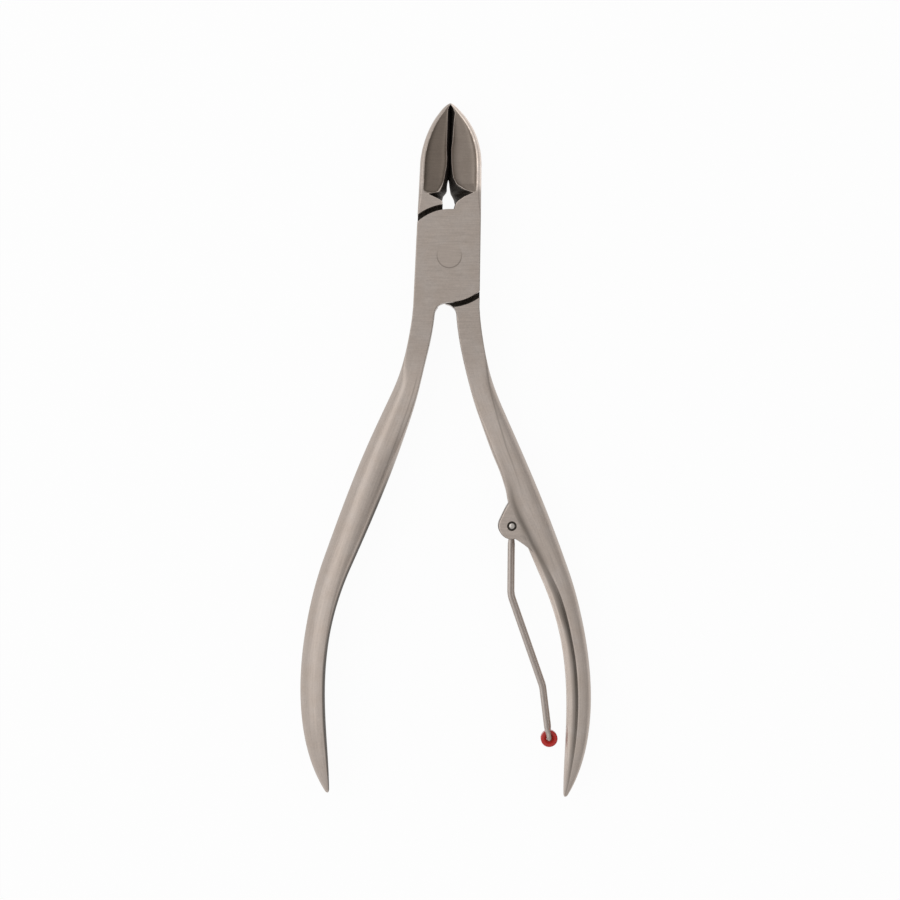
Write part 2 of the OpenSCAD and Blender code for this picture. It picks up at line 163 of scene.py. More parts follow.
class NipperFinish(bpy.types.PropertyGroup):
    """Colours and levels of the finishes and the stage."""

    steel: colour((0.467, 0.4, 0.352), "Steel", "Brushed steel of the levers")
    worn: colour((0.467, 0.41, 0.37), "Worn steel", "Cooler patches of the brushed steel")
    hollow: colour((0.467, 0.385, 0.32), "Hollow", "Ground hollows of the jaws")
    # Dark grain also gives the painted shade in the gaps, recesses, creases, the blades' inner walls and the
    # handles' inner edges
    scale: colour((0.03, 0.026, 0.02), "Dark grain", "Unpolished steel in grooves and reliefs")
    rivet: colour((0.467, 0.4, 0.352), "Rivet", "Ground end of the rivet")
    pin: colour((0.58, 0.54, 0.5), "Pin", "Polished end of the pin")
    wire: colour((0.5, 0.44, 0.4), "Wire", "Drawn spring wire")
    plastic: colour((0.5, 0.018, 0.012), "Roller", "Red plastic of the roller")
    scuff: colour((0.62, 0.16, 0.13), "Scuffs", "Scuffed plastic of the roller")
    key: bpy.props.FloatProperty(
        name="Left lamp", description="Power of the lamp on the left", default=1.0, unit="POWER"
    )


def sizes(context):
    """All sizes as plain numbers in millimetres and radians, with those that follow from them."""
    props = context.scene.nipper_sizes
    z = SimpleNamespace()
    for prop in NipperSizes.bl_rna.properties:
        if prop.type == "FLOAT":
            unit = MM if prop.unit == "LENGTH" else 1.0
            value = getattr(props, prop.identifier)
            plain = [each / unit for each in value] if prop.is_array else value / unit
            setattr(z, prop.identifier, plain)
    z.mid = z.head_t / 2
    z.shoulder_r = z.cheek_r + z.shoulder_gap
    z.plate_w = z.neck_w / 2 + z.shank_proud
    z.left = side(z, 0)
    z.right = side(z, 1)
    inner_left = -beside(z, z.left, np.zeros(1), z.left.slim - z.plate_w)[0, 0]
    inner_right = beside(z, z.right, np.zeros(1), z.right.slim - z.plate_w)[0, 0]
    z.crotch_x = (inner_left + inner_right) / 2
    z.crotch_r = (inner_right - inner_left) / 2
    z.crotch_y = -z.cheek_r - z.crotch_drop - z.crotch_r
    z.pin_at = beside(z, z.right, np.array([z.lug_at]), -z.lug_reach)[0]
    return z


PAIRS = (
    "neck_x", "neck_angle", "splay", "swell_w", "swell_at", "slim", "jaw_w", "jaw_fall", "jaw_close",
)


def side(z, i):
    """The sizes of the left side (0) or the right side (1) of the nipper, drawn to the right of the rivet."""
    h = SimpleNamespace()
    for name in PAIRS:
        setattr(h, name, getattr(z, name)[i])
    h.end = z.handle_l - z.short[i]
    h.bend_l = z.neck_bend_r * (h.splay - h.neck_angle)
    return h


def along(a):
    """Unit vectors down the handle at the angle a from straight down."""
    return np.stack([np.sin(a), -np.cos(a)], -1)


def outward(a):
    """Unit vectors across the handle, away from the middle."""
    return np.stack([np.cos(a), np.sin(a)], -1)


def angle_at(z, h, s):
    """Angle of the centre line at the length s: it grows on the first arc, stays, and falls on the second."""
    bent = h.neck_angle + s / z.neck_bend_r
    curled = h.splay - (s - h.bend_l - z.straight_l) / z.grip_bend_r
    return np.where(s < h.bend_l, bent, np.minimum(h.splay, curled))


def centre_at(z, h, s):
    """Centre line of a handle: an arc outward, a straight stretch, then an arc inward."""
    start = np.array([h.neck_x, -z.neck_y])
    bent = angle_at(z, h, np.minimum(s, h.bend_l))
    first = start + z.neck_bend_r * (outward(h.neck_angle) - outward(bent))
    run = np.clip(s - h.bend_l, 0, z.straight_l)[..., None] * along(h.splay)
    curl = np.maximum(s - h.bend_l - z.straight_l, 0) / z.grip_bend_r
    last = z.grip_bend_r * (outward(h.splay - curl) - outward(h.splay))
    return first + run + last


def beside(z, h, s, d):
    """Points at the distance d across from the centre line at the length s."""
    return centre_at(z, h, s) + np.asarray(d)[..., None] * outward(angle_at(z, h, s))


def ease(s, s0, s1, a=0.0, b=1.0):
    """Half a cosine wave from a at s0 to b at s1."""
    t = np.clip((s - s0) / (s1 - s0), 0, 1)
    return a + (b - a) * (1 - np.cos(np.pi * t)) / 2


def ease_power(s, s0, s1, a, b):
    """A power that eases from a to b by its logarithm."""
    return np.exp(ease(s, s0, s1, np.log(a), np.log(b)))


def stretch(s, s0, s1, s2, s3):
    """1 from s1 to s2, easing to 0 at s0 and at s3."""
    return ease(s, s0, s1) * ease(s, s2, s3, 1.0, 0.0)


def bell(s, middle, width):
    """A bell curve of height 1."""
    return np.exp(-(((s - middle) / width) ** 2))


def quarter_round(share, least=0.0):
    """Height of a quarter circle of radius 1 at a share of its width. Its square is not under least."""
    return np.sqrt(np.maximum(1 - (1 - np.clip(share, 0, 1)) ** 2, least))


def clustered(n):
    """n places from 0 to 1 by half a cosine wave, close together at both ends."""
    return (1 - np.cos(np.pi * np.arange(n) / (n - 1))) / 2


def slowing(start, end, n):
    """n places from start to end by a quarter of a cosine wave, close together at the start."""
    return start + (end - start) * (1 - np.cos(np.linspace(0, np.pi / 2, n)))


def knots(places, y):
    """Straight lines through the given places."""
    p = np.array(places)
    return np.interp(y, p[:, 0], p[:, 1])


def swelling(z, h, s, neck, swell, grip, tip):
    """A size along a handle: it eases to the swell and the grip, and falls by a fourth power to the tip."""
    upper = ease(s, SWELL_FROM, h.swell_at, neck, swell)
    lower = ease(s, h.swell_at, z.grip_at, swell, grip)
    body = np.where(s < h.swell_at, upper, lower)
    t = np.clip((s - z.grip_at) / (h.end - z.grip_at), 0, 1)
    return np.where(s < z.grip_at, body, tip + (body - tip) * (1 - t**4))


# Inner edges of the jaws, by the distance from the rivet: rear edge of the wall, then its front edge
RIGHT_REAR = (
    (8, 0.6), (8.5, 0.72), (9.0, 0.85), (9.4, 0.88), (9.7, 0.78), (10.1, 0.69), (10.4, 0.56),
    (10.75, 0.38), (11.1, 0.16), (11.5, 0.05), (12.5, -0.11), (13.2, -0.2), (13.7, -0.3), (14.6, -0.1),
    (15.2, 0.0), (27, 0.0),
)
RIGHT_FRONT = (
    (8, 0.75), (8.5, 0.9), (9.1, 1.16), (9.5, 1.54), (9.8, 2.0), (10.2, 2.6), (10.6, 3.5), (10.9, 4.1),
    (11.05, 3.7), (11.2, 3.1), (11.4, 2.5), (12.05, 1.5), (12.4, 1.1), (13.4, 0.6), (14.4, 0.43),
    (16, 0.26), (18.5, 0.22), (19.6, 0.38), (22, 0.52), (24, 0.68), (24.8, 0.78), (25.4, 0.55),
    (25.85, 0.32), (26.1, 0.14), (26.3, 0.02), (27, 0.02),
)
LEFT_REAR = (
    (8, 1.2), (8.6, 1.26), (9.4, 1.24), (10.0, 1.34), (10.4, 1.25), (10.75, 1.18), (11.1, 0.88),
    (11.45, 0.62), (11.8, 0.53), (12.5, 0.52), (13.2, 0.42), (13.7, 0.3), (14.6, 0.1), (15.2, 0.0),
    (27, 0.0),
)
LEFT_FRONT = (
    (8, 1.22), (9.3, 1.26), (9.5, 1.5), (9.75, 2.0), (10.0, 2.55), (10.3, 3.2), (10.6, 3.75),
    (10.75, 3.2), (10.9, 2.1), (11.1, 1.75), (11.7, 1.45), (12.3, 1.22), (13.3, 0.98), (14.4, 0.83),
    (15.4, 0.64), (16.5, 0.56), (18.5, 0.65), (20.6, 0.61), (22.7, 0.55), (24.8, 0.52), (25.4, 0.46),
    (25.85, 0.3), (26.1, 0.14), (26.3, 0.02), (27, 0.02),
)

# Right handle, by the length along it: line between its land and its round face, as a place across the handle
LAND_LINE = (
    (30, 0.64), (34, 0.68), (39, 0.72), (42, 0.66), (44.5, 0.56), (47, 0.42), (49.5, 0.29), (52, 0.21),
    (55, 0.18), (60, 0.18), (64, 0.145), (88, 0.12),
)
# Dark grain with painted shade beside that line, on the land: its greatest share, then how far it reaches
GRAIN_SHADE_SHARE = (
    (24, 0.0), (29, 0.15), (33, 0.45), (38, 0.62), (43, 0.62), (47, 0.5), (51, 0.55), (55, 0.72),
    (58, 0.84), (70, 0.8), (80, 0.6), (88, 0.4),
)
GRAIN_SHADE_REACH = ((30, 0.25), (40, 0.25), (44, 0.18), (47, 0.3), (50, 0.46), (54, 0.52), (58, 0.5), (88, 0.55))
# Crease on its upper stretch, where the flat face meets the outer one, as a place across the handle; it is
# painted as a line of shade
CREASE_LINE = ((7, -1.0), (11, -0.8), (15, -0.55), (20, -0.29), (25, -0.08), (32, 0.04), (40, 0.1))

# Head: edges
EDGE_R = 0.12  # rounding of every edge
JAW_ROUND_Y = (6, 11)  # where the jaw's outer side gets rounder
JAW_ROUND_W = 0.4  # by this width
JAW_ROUND_H = 1.2  # and this depth
JAW_ROUND_FADE = 1.5  # and less so this near to the tip
BACK_W = 0.6  # share of that width on the face without the hollow
BACK_H = 0.5  # share of that depth there
BLADE_SHARE = 0.3  # share of an edge's rounding at the blade
ROUND_SHARE = 0.3  # most that a rounding takes of a slice
LEAST_TIP = 0.03  # width of the jaw at its tip
LEAST_FACE = 0.3  # least width of the jaw's face
WALL_BOW = 1.7  # power of the blade's inner wall
SAME = 1e-6  # edges nearer than this are one

# Head: the hollow's lower lip, and its flat rims with how bright their painted highlights are
LIP_Y = 10.75
LIP_RISE = 1.1
LIP_MIDDLE = 2.6
LIP_W = 4.6
LIP_RUN = 0.7
INNER_FLAT_Y = (11, 13)
INNER_FLAT = (0.3, 0.05)
OUTER_FLAT = 0.3
RIM_Y = (10.7, 12.5)
RIM_LEFT = 0.18
RIM_LINE = 1.1
RIM_LINE_AT = 0.06
RIM_LINE_W = 0.14
RIM_BAND = 0.8
RIM_BAND_W = 0.1
# painted highlight along the inner edge at the window
WINDOW_RIM = 0.75
WINDOW_RIM_W = 0.13
WINDOW_RIM_FROM = (8.4, 8.9)
WINDOW_RIM_LESS = 0.35
WINDOW_RIM_TO = (10.7, 11.2)

# Head: shares of hollow and of painted shade; the right jaw's hollow gets a smaller share and is painted
# lighter than the left one, as lit from the left
HOLLOW_RIGHT_LIT = 0.62
GAP_SHADE = (0.7, 0.1)  # painted shade in the gap between cheek and shoulder; it grows between these distances inside the cheek's edge
# painted shade on the blades' inner walls, where they close into a narrow dark gap
WALL_SHADE = 0.85
WALL_SHADE_END = 0.4  # below the tip

# Handles: from where to where along the length the neck's form goes over into the grip's
HANDLE_START = 1.1
SWELL_FROM = 5
WIDTH_BLEND = (5, 14)
DEPTH_BLEND = (7, 18)
SHEAR_FADE = (2, 14)
RELIEF_FADE = (8, 20)
EDGE_FADE = (HANDLE_START, 9)
BOTTOM_SPREAD = (HANDLE_START, 7)
OUTER_ROUNDING = (6.5, 14.5)
INNER_ROUNDING = (10, 30)
LAND_ROUNDING = (10, 26)
TIP_ROUNDING_FROM = 70

# Handles: stretches of single forms and of finish, along the length
END_ROUND = 0.45
WAIST_AT = 29
WAIST_L = 3
WAIST_W = 0.2  # drawn in above the lug
FLARE = (31.5, 34.6, 36, 40)
FLARE_W = 0.36  # let out into the lug
CREST = (24, 70)
CREST_SKEW = 0.85  # of the left handle's crest to the inner side
LAND = (28, 33, 72, 88)
LAND_SHARPENS = (44, 52)
GROOVE_FROM = (46, 54)
GRAIN_SHADE_SHARPENS = (44, 50)
GRAIN_SHADE_FALLS = (55, 61)
PAST_LUG = (41, 48)
CREASE = (8, 12, 26, 36)
LEFT_SHADE_LINE = (10, 14, 28, 38)
INNER_SHADE_FROM = (24, 36)
BRUSHED_ALONG = (5, 15)

# Handles: places and widths of the marks, as shares of the half width or the half thickness
LEFT_SHADE_LINE_AT = 0.62
LEFT_SHADE_LINE_W = 0.05
CREASE_W = 0.06
LAND_EDGE = (0.07, 0.03)
LAND_HIGHLIGHT_FROM = (0.5, 1.1)  # as a share of the grain's reach
GRAIN_SHADE_EDGE = (0.25, 0.05)
GROOVE_AT = 0.05  # beyond the land's line
GROOVE_W = 0.08
INNER_SHADE_ACROSS = (0.78, 0.95)
INNER_SHADE_RISE = (-0.6, 0.1)
FACE_RISE = 0.4  # the face is above this

# Handles: depths of the marks, shares of painted shade and painted highlight, and the power by which the
# grain and its painted shade fall off
GROOVE_DEPTH = 0.12
LAND_UNDER_LUG = 0.01
LAND_UNDER_FACE = 0.28
LAND_HIGHLIGHT = 0.34
LAND_HIGHLIGHT_BY_LUG = 0.15
SHADE_LINE_SHARE = 0.3
INNER_SHADE = 0.88
GRAIN_SHADE_POWER = (0.3, 1.0)

# Handles: mean half width and half thickness, by which the place around is measured
MEAN_HALF_W = 2.3
MEAN_HALF_T = 3.2

# Handles: powers of the superellipse
SQUARE_POWER = 40
ROUND_POWER = 2.5
LAND_POWER = 9
LEFT_OUTER_POWER = 2.3
RIGHT_OUTER_POWER = 3.6


def head_rows(z):
    """Distances from the rivet at which the head is sliced, closer together where its outline turns."""
    just = 1e-3
    blade_y = 14.5
    rows = [
        np.linspace(z.crotch_y + 0.02, -z.shoulder_r, 16),
        slowing(-z.shoulder_r, 2.2 - z.shoulder_r, 44),
        np.linspace(-6.6, 5.6, 40),
        slowing(z.cheek_r, z.cheek_r - 2.4, 30),
        z.cheek_r + np.array([-just, just]),
        np.linspace(z.cheek_r, z.shoulder_r, 16),
        np.linspace(z.shoulder_r, blade_y, 64),
        np.linspace(blade_y, 24, 60),
        slowing(z.tip_y, z.tip_y - 2.5, 26),
    ]
    return np.unique(np.concatenate(rows).round(5))


def head_edges(z, h, jaw, front, y):
    """Outlines of a head by the distance y from the rivet, in the frame of head_loops.

    The right edge is the arch of the crotch, the cheek's circle, a straight side and the jaw's side,
    whose width falls as 1 minus a power of the way to the tip, to another power. The left edge is the
    neck with a straight side, then the cheek's circle. Above the cheek, the blade's inner wall has a rear
    edge and a face edge in its place.
    """
    e = SimpleNamespace(above=y > z.cheek_r)
    neck = beside(z, h, np.linspace(4, 0, 20), np.full(20, z.plate_w))
    left = np.interp(y, np.append(neck[:, 1], z.jaw_side_y), np.append(neck[:, 0], h.jaw_w))
    foot = beside(z, jaw, np.zeros(1), z.plate_w)[0]
    right = np.interp(y, [foot[1], z.jaw_side_y], [foot[0], jaw.jaw_w])
    toward_tip = np.clip((y - z.jaw_side_y) / (z.tip_y - z.jaw_side_y), 0, 1)
    closing = jaw.jaw_w * (1 - toward_tip**jaw.jaw_fall) ** jaw.jaw_close
    right = np.where(y > z.jaw_side_y, np.maximum(closing, LEAST_TIP), right)
    cheek = np.sqrt(np.maximum(z.cheek_r**2 - y**2, 0))
    shoulder = np.sqrt(np.maximum(z.shoulder_r**2 - y**2, 0))
    arch_x = z.crotch_x if front else -z.crotch_x
    arch = arch_x - np.sqrt(np.maximum(z.crotch_r**2 - (y - z.crotch_y) ** 2, 0))
    arch = np.where(y > z.crotch_y + z.crotch_r, arch_x, arch)
    e.right = np.where(y > 0, right, np.where(y > -z.cheek_r, np.minimum(right, cheek), arch))
    e.left = np.where(y > 0, np.maximum(-left, -cheek), -left)
    rear, face = (RIGHT_REAR, RIGHT_FRONT) if front else (LEFT_REAR, LEFT_FRONT)
    e.rear = knots(rear, y)
    e.face = np.maximum(knots(face, y), e.rear)
    e.face = np.minimum(e.face, e.right - LEAST_FACE * np.minimum(1, e.right - 0.02))
    e.top = np.where(e.above, e.face if front else e.rear, e.left)
    e.low = np.where(e.above, e.rear if front else e.face, e.left)
    # the lower face has its full depth up to step_r, is the lap face to step_l, and has its full depth beyond
    e.step_r = np.where(y > 0, np.clip(shoulder, e.low, e.right), e.right)
    e.step_r = np.where(y > z.shoulder_r, e.low, e.step_r)
    e.step_l = np.where(y < 0, np.clip(-shoulder, e.low, e.right), e.low)
    e.step_l = np.where(y < -z.shoulder_r, e.right, e.step_l)
    return e


def hollow(z, x, y, inner, outer, rim_share):
    """Depth of the ground hollow between two edges of a jaw's face, and the share of painted highlight on its
    rims.

    The hollow is an arc across the jaw that ends in a rounded lip at its lower end. Its outer rim gets a
    painted highlight, a bright line with a bright flat beside it, and a fine painted highlight runs
    along the inner edge at the window.
    """
    low = inner + ease(y, *INNER_FLAT_Y, *INNER_FLAT)
    high = outer - OUTER_FLAT
    chord = np.maximum(high - low, 0.01)
    v = np.clip((x - low) / chord, 0, 1)
    deep = np.minimum(z.hollow_depth, chord**2 / (8 * z.hollow_wheel))
    lip = LIP_Y + LIP_RISE * np.abs(2 * (x - LIP_MIDDLE) / LIP_W) ** 4
    depth = deep * (1 - (2 * v - 1) ** 6) * quarter_round((y - lip) / LIP_RUN)
    line = RIM_LINE * bell(x, high + RIM_LINE_AT, RIM_LINE_W)
    band = RIM_BAND * np.clip((x - high) / RIM_BAND_W, 0, 1)
    outer_rim = np.maximum(line, band) * ease(y, *RIM_Y, 0.0, rim_share)
    at_window = ease(y, *WINDOW_RIM_FROM, 0.0, WINDOW_RIM) - ease(y, *WINDOW_RIM_TO, 0.0, WINDOW_RIM_LESS)
    return depth, np.maximum(outer_rim, at_window * bell(x, inner, WINDOW_RIM_W))


def head_loops(z, h, jaw, front):
    """Slices of a lever's head across the rivet's axis, in a frame with its cheek up, its neck at the
    lower left and its jaw at the upper right.

    Each slice runs along the top from the left edge to the right one, down the right wall, back along the
    bottom and up the left wall. The bottom is at the lap face inside the shoulder's circle and at the
    full depth outside. Also returns shares of hollow, of painted shade in the lap gap and on the blades'
    inner walls, and of painted highlight on the rims.
    """
    y = head_rows(z)[:, None]
    e = head_edges(z, h, jaw, front, y)
    has_r = e.right - e.step_r > SAME
    has_l = e.step_l - e.low > SAME
    in_lap = e.step_r - e.step_l > SAME
    # level faces that drop towards the tip
    toward_tip = np.clip((y - z.taper_y) / (z.tip_y - z.taper_y), 0, 1)
    top_drop, low_drop = (z.front_drop, z.rear_rise) if front else (z.rear_rise, z.front_drop)
    top = z.head_t - z.rivet_proud - top_drop * toward_tip
    full = low_drop * toward_tip + z.rivet_proud
    lap = z.mid + z.lap_gap / 2
    # edges: a small rounding on the head, a wide and deep one along the jaw's outer side
    grow = ease(y, *JAW_ROUND_Y) * np.clip((z.tip_y - y) / JAW_ROUND_FADE, 0.15, 1)
    outer_w = EDGE_R + JAW_ROUND_W * grow
    outer_h = EDGE_R + JAW_ROUND_H * grow
    shown_round = (outer_w, outer_h)
    back_round = (outer_w * BACK_W, outer_h * BACK_H)
    top_round, low_round = (shown_round, back_round) if front else (back_round, shown_round)
    blade_r = EDGE_R * BLADE_SHARE
    left_r = np.where(e.above, blade_r, EDGE_R)

    def rounded(x, edge, w, height):
        widest = ROUND_SHARE * (e.right - e.low + 0.05)
        return height * (1 - quarter_round(np.abs(x - edge) / np.minimum(w, widest)))

    wide = clustered(TOP_COLUMNS)
    narrow = clustered(STEP_COLUMNS)
    x_top = e.top + (e.right - e.top) * wide
    z_top = top - rounded(x_top, e.right, *top_round) - rounded(x_top, e.top, left_r, left_r)
    x_low = e.right + (e.step_r - e.right) * wide
    z_low = np.where(has_r, full, lap) + rounded(x_low, e.right, *low_round) * has_r
    z_low = z_low + rounded(x_low, e.low, blade_r, blade_r) * (has_r & e.above & (y > z.shoulder_r))
    outer = e.right - outer_w
    if front:
        depth, bright = hollow(z, x_top, y, e.top, outer, 1.0)
        z_top = z_top - depth
    else:
        depth, bright = hollow(z, x_low, y, e.low, outer, RIM_LEFT)
        z_low = z_low + depth
    x_lap = e.step_r + (e.step_l - e.step_r) * narrow
    z_lap = np.where(in_lap, lap, np.where(y > 0, z_low[:, -1:], full)) + 0 * x_lap
    x_end = e.step_l + (e.low - e.step_l) * narrow
    z_end = np.where(has_l, full, z_lap[:, -1:]) + rounded(x_end, e.low, EDGE_R, EDGE_R) * (has_l & (y < 0))
    z_end = z_end + rounded(x_end, e.right, EDGE_R, EDGE_R) * (has_l & (y < -z.shoulder_r))
    # walls: the right one is straight, and the blade's inner wall is bowed
    x_right = e.right + 0 * WALL
    z_right = z_top[:, -1:] + (z_low[:, :1] - z_top[:, -1:]) * WALL
    up = WALL if front else 1 - WALL
    x_left = np.where(e.above, e.rear + (e.face - e.rear) * up**WALL_BOW, e.left)
    z_left = z_end[:, -1:] + (z_top[:, :1] - z_end[:, -1:]) * WALL
    x = np.concatenate([x_top, x_right, x_low, x_lap, x_end, x_left], 1)
    height = np.concatenate([z_top, z_right, z_low, z_lap, z_end, z_left], 1)
    # finish: hollow share, painted shade and painted highlight
    ground, dark, rim = np.zeros((3, *x.shape))
    low_start = TOP_COLUMNS + SIDE_COLUMNS
    lap_start = low_start + TOP_COLUMNS
    hollowed = slice(0, TOP_COLUMNS) if front else slice(low_start, lap_start)
    # the right jaw's hollow takes a smaller share, so it is painted lighter, as the side that faces the light
    ground[:, hollowed] = (depth > 1e-4) * (HOLLOW_RIGHT_LIT if front else 1.0)
    # painted highlight on the hollow's rims
    rim[:, hollowed] = bright
    # painted shade in the lap gap between a cheek and the other lever's shoulder
    gap = ease(np.hypot(x_lap, y), z.cheek_r - GAP_SHADE[0], z.cheek_r - GAP_SHADE[1])
    dark[:, lap_start : lap_start + STEP_COLUMNS] = in_lap * gap
    # painted shade on the blades' inner walls, up to just below the tip
    dark[:, -SIDE_COLUMNS:] = WALL_SHADE * (e.above & (y < z.tip_y - WALL_SHADE_END))
    return np.stack([x, y + 0 * x, height], -1), ground, dark, rim


def square_places(s):
    """Places p, q on the edge of a square from -1 to 1 for each ring, in the order of a head's slice.

    The places along the bottom start where the neck's slice has them and spread out down the handle.
    """
    wide = clustered(TOP_COLUMNS)
    gathered = np.concatenate([np.zeros(TOP_COLUMNS + STEP_COLUMNS), clustered(STEP_COLUMNS)])
    low = gathered + (clustered(len(gathered)) - gathered) * ease(s, *BOTTOM_SPREAD)
    one = np.ones_like(s)
    p = np.concatenate([one * (2 * wide - 1), one + 0 * WALL, 1 - 2 * low, 0 * WALL - one], 1)
    q = np.concatenate([one + 0 * wide, one * (1 - 2 * WALL), 0 * low - 1, one * (2 * WALL - 1)], 1)
    return p, q


def left_marks(s, across, rise, shown):
    """Dark and bright shares on the left handle: painted shade along the inner side, and a faint painted line
    of shade further up.
    """
    # painted shade along the inner side of the left handle
    inner_side = INNER_SHADE * ease(across, *INNER_SHADE_ACROSS) * ease(rise, *INNER_SHADE_RISE)
    inner_side = inner_side * ease(s, *INNER_SHADE_FROM)
    # a faint painted line of shade beside the crest
    shade_line = SHADE_LINE_SHARE * bell(across, LEFT_SHADE_LINE_AT, LEFT_SHADE_LINE_W) * shown * stretch(s, *LEFT_SHADE_LINE)
    return inner_side + shade_line, np.zeros_like(across)


def right_marks(s, across, rise, shown):
    """Dark and bright shares on the right handle: dark grain with painted shade beside the land, a faint
    painted line of shade at a crease, a painted highlight on the land.
    """
    line = knots(LAND_LINE, s)
    beyond = np.maximum(across - line, 0) / knots(GRAIN_SHADE_REACH, s)
    before = np.maximum(line - across, 0) / ease(s, *GRAIN_SHADE_SHARPENS, *GRAIN_SHADE_EDGE)
    sharp = ease(s, *GRAIN_SHADE_SHARPENS)
    falling = np.maximum(1 - beyond, 0) ** ease(s, *GRAIN_SHADE_FALLS, *GRAIN_SHADE_POWER)
    on_land = bell(beyond, 0, 1) * (1 - sharp) + falling * sharp
    # dark grain with painted valley shade beside the land's line
    grain = knots(GRAIN_SHADE_SHARE, s) * on_land * bell(before, 0, 1)
    # a painted line of shade along the crease
    crease = SHADE_LINE_SHARE * bell(across, knots(CREASE_LINE, s), CREASE_W) * stretch(s, *CREASE)
    # painted highlight on the flat land
    bright = LAND_HIGHLIGHT * ease(beyond, *LAND_HIGHLIGHT_FROM) * stretch(s, *LAND)
    bright = bright * ease(s, *PAST_LUG, LAND_HIGHLIGHT_BY_LUG, 1.0)
    return (grain + crease) * shown, bright * shown * (np.abs(rise) > FACE_RISE)


def land_depth(z, s, t, across, rise):
    """Depth ground off the right handle's face: a step to a flat land beyond its line, a groove at it."""
    past_line = across - knots(LAND_LINE, s)
    step = 1 / (1 + np.exp(-past_line / ease(s, *LAND_SHARPENS, *LAND_EDGE)))
    groove = GROOVE_DEPTH * bell(past_line, GROOVE_AT, GROOVE_W) * ease(s, *GROOVE_FROM)
    groove = groove * (np.abs(rise) > FACE_RISE)
    land = np.minimum(z.lug_t / 2 - LAND_UNDER_LUG, t / 2 - LAND_UNDER_FACE)
    return stretch(s, *LAND) * (step * np.maximum(np.abs(rise) * t / 2 - land, 0) + groove)


def handle_loops(z, h, front):
    """Rings of a handle from its tip to the neck, in the same frame and with the same number of places.

    A place on the edge of a square is drawn in to a superellipse with its own power in each quarter, so
    that the square neck turns into a rounded grip. The right handle keeps a flat land and a groove along
    its inner edge. Also returns the share of dark grain and painted shade, and for the brushing the
    length, the place around and the share of painted highlight.
    """
    rows = np.append(slowing(h.end, h.end - 2, 14), np.linspace(h.end - 2.2, HANDLE_START, 150))
    s = np.unique(rows.round(5))[::-1, None]
    end = quarter_round((h.end - s) / END_ROUND, 0.02)
    w = swelling(z, h, s, z.neck_w, h.swell_w, z.grip_w, z.tip_w)
    t = swelling(z, h, s, z.neck_t, z.swell_t, z.grip_t, z.tip_t)
    w = ease(s, *WIDTH_BLEND, 2 * z.plate_w, w) * end
    t = ease(s, *DEPTH_BLEND, z.head_t - 2 * z.rivet_proud, t) * end
    # edges: the rings are square to the centre line, and level at the neck
    shear = z.plate_w * np.tan(angle_at(z, h, s)) * ease(s, *SHEAR_FADE, 1.0, 0.0)
    outer = beside(z, h, s + shear, w / 2)
    trim = h.slim * ease(s, *RELIEF_FADE, 1.0, 0.0)
    if not front:
        trim = trim + WAIST_W * bell(s, WAIST_AT, WAIST_L) - FLARE_W * stretch(s, *FLARE)
    inner = beside(z, h, np.maximum(s - shear, 0.2), trim - w / 2)
    edge = beside(z, h, np.zeros(1), h.slim - z.plate_w)[0, 0]
    inner[..., 0] -= (inner[-1, 0, 0] - edge) * ease(s, *EDGE_FADE, 1.0, 0.0)
    # powers of the quarters: outer and inner, facing the viewer or away
    p, q = square_places(s)
    shown = (q > 0) if front else (q < 0)
    outer_power = LEFT_OUTER_POWER if front else RIGHT_OUTER_POWER
    outer_n = ease_power(s, *OUTER_ROUNDING, SQUARE_POWER, outer_power)
    inner_n = ease_power(s, *INNER_ROUNDING, SQUARE_POWER, ROUND_POWER)
    land_n = inner_n if front else ease_power(s, *LAND_ROUNDING, SQUARE_POWER, LAND_POWER)
    land_n = ease_power(s, TIP_ROUNDING_FROM, z.handle_l, land_n, ROUND_POWER)
    n = np.where(p < 0, outer_n, np.where(shown, land_n, inner_n))
    pull = (np.abs(p) ** n + np.abs(q) ** n) ** (-1 / n)
    across = p * pull
    rise = q * pull
    height = z.mid + t / 2 * rise
    if front:
        across = across + ease(s, *CREST, 0.0, CREST_SKEW) * (1 - np.abs(across)) * shown
        dark, bright = left_marks(s, across, rise, shown)
    else:
        height = height + land_depth(z, s, t, across, rise) * shown
        dark, bright = right_marks(s, across, rise, shown)
    middle = (outer + inner) / 2
    half = (inner - outer) / 2
    x = -(middle[..., 0] + half[..., 0] * across)
    y = middle[..., 1] + half[..., 1] * across
    walk = np.hypot(np.diff(p * MEAN_HALF_W, axis=1, append=-1), np.diff(q * MEAN_HALF_T, axis=1, append=1))
    sweep = np.stack([s + 0 * x, np.cumsum(walk, 1), bright], -1)
    return np.stack([x, y, height], -1), dark, sweep


def out_of_slot(z, points):
    """The right handle's points with those in the lug's slot moved straight away from the pin, onto a
    round floor just behind the web's, so that the spring's eyes have room to turn."""
    behind = 0.05
    away = points[..., :2] - z.pin_at
    distance = np.hypot(away[..., 0], away[..., 1])
    floor = z.slot_r + behind
    inside = (distance < floor) & (np.abs(points[..., 2] - z.mid) < z.slot_w / 2 + behind)
    moved = np.where(inside, floor / np.maximum(distance, 0.1), 1)
    return np.concatenate([z.pin_at + away * moved[..., None], points[..., 2:]], -1)


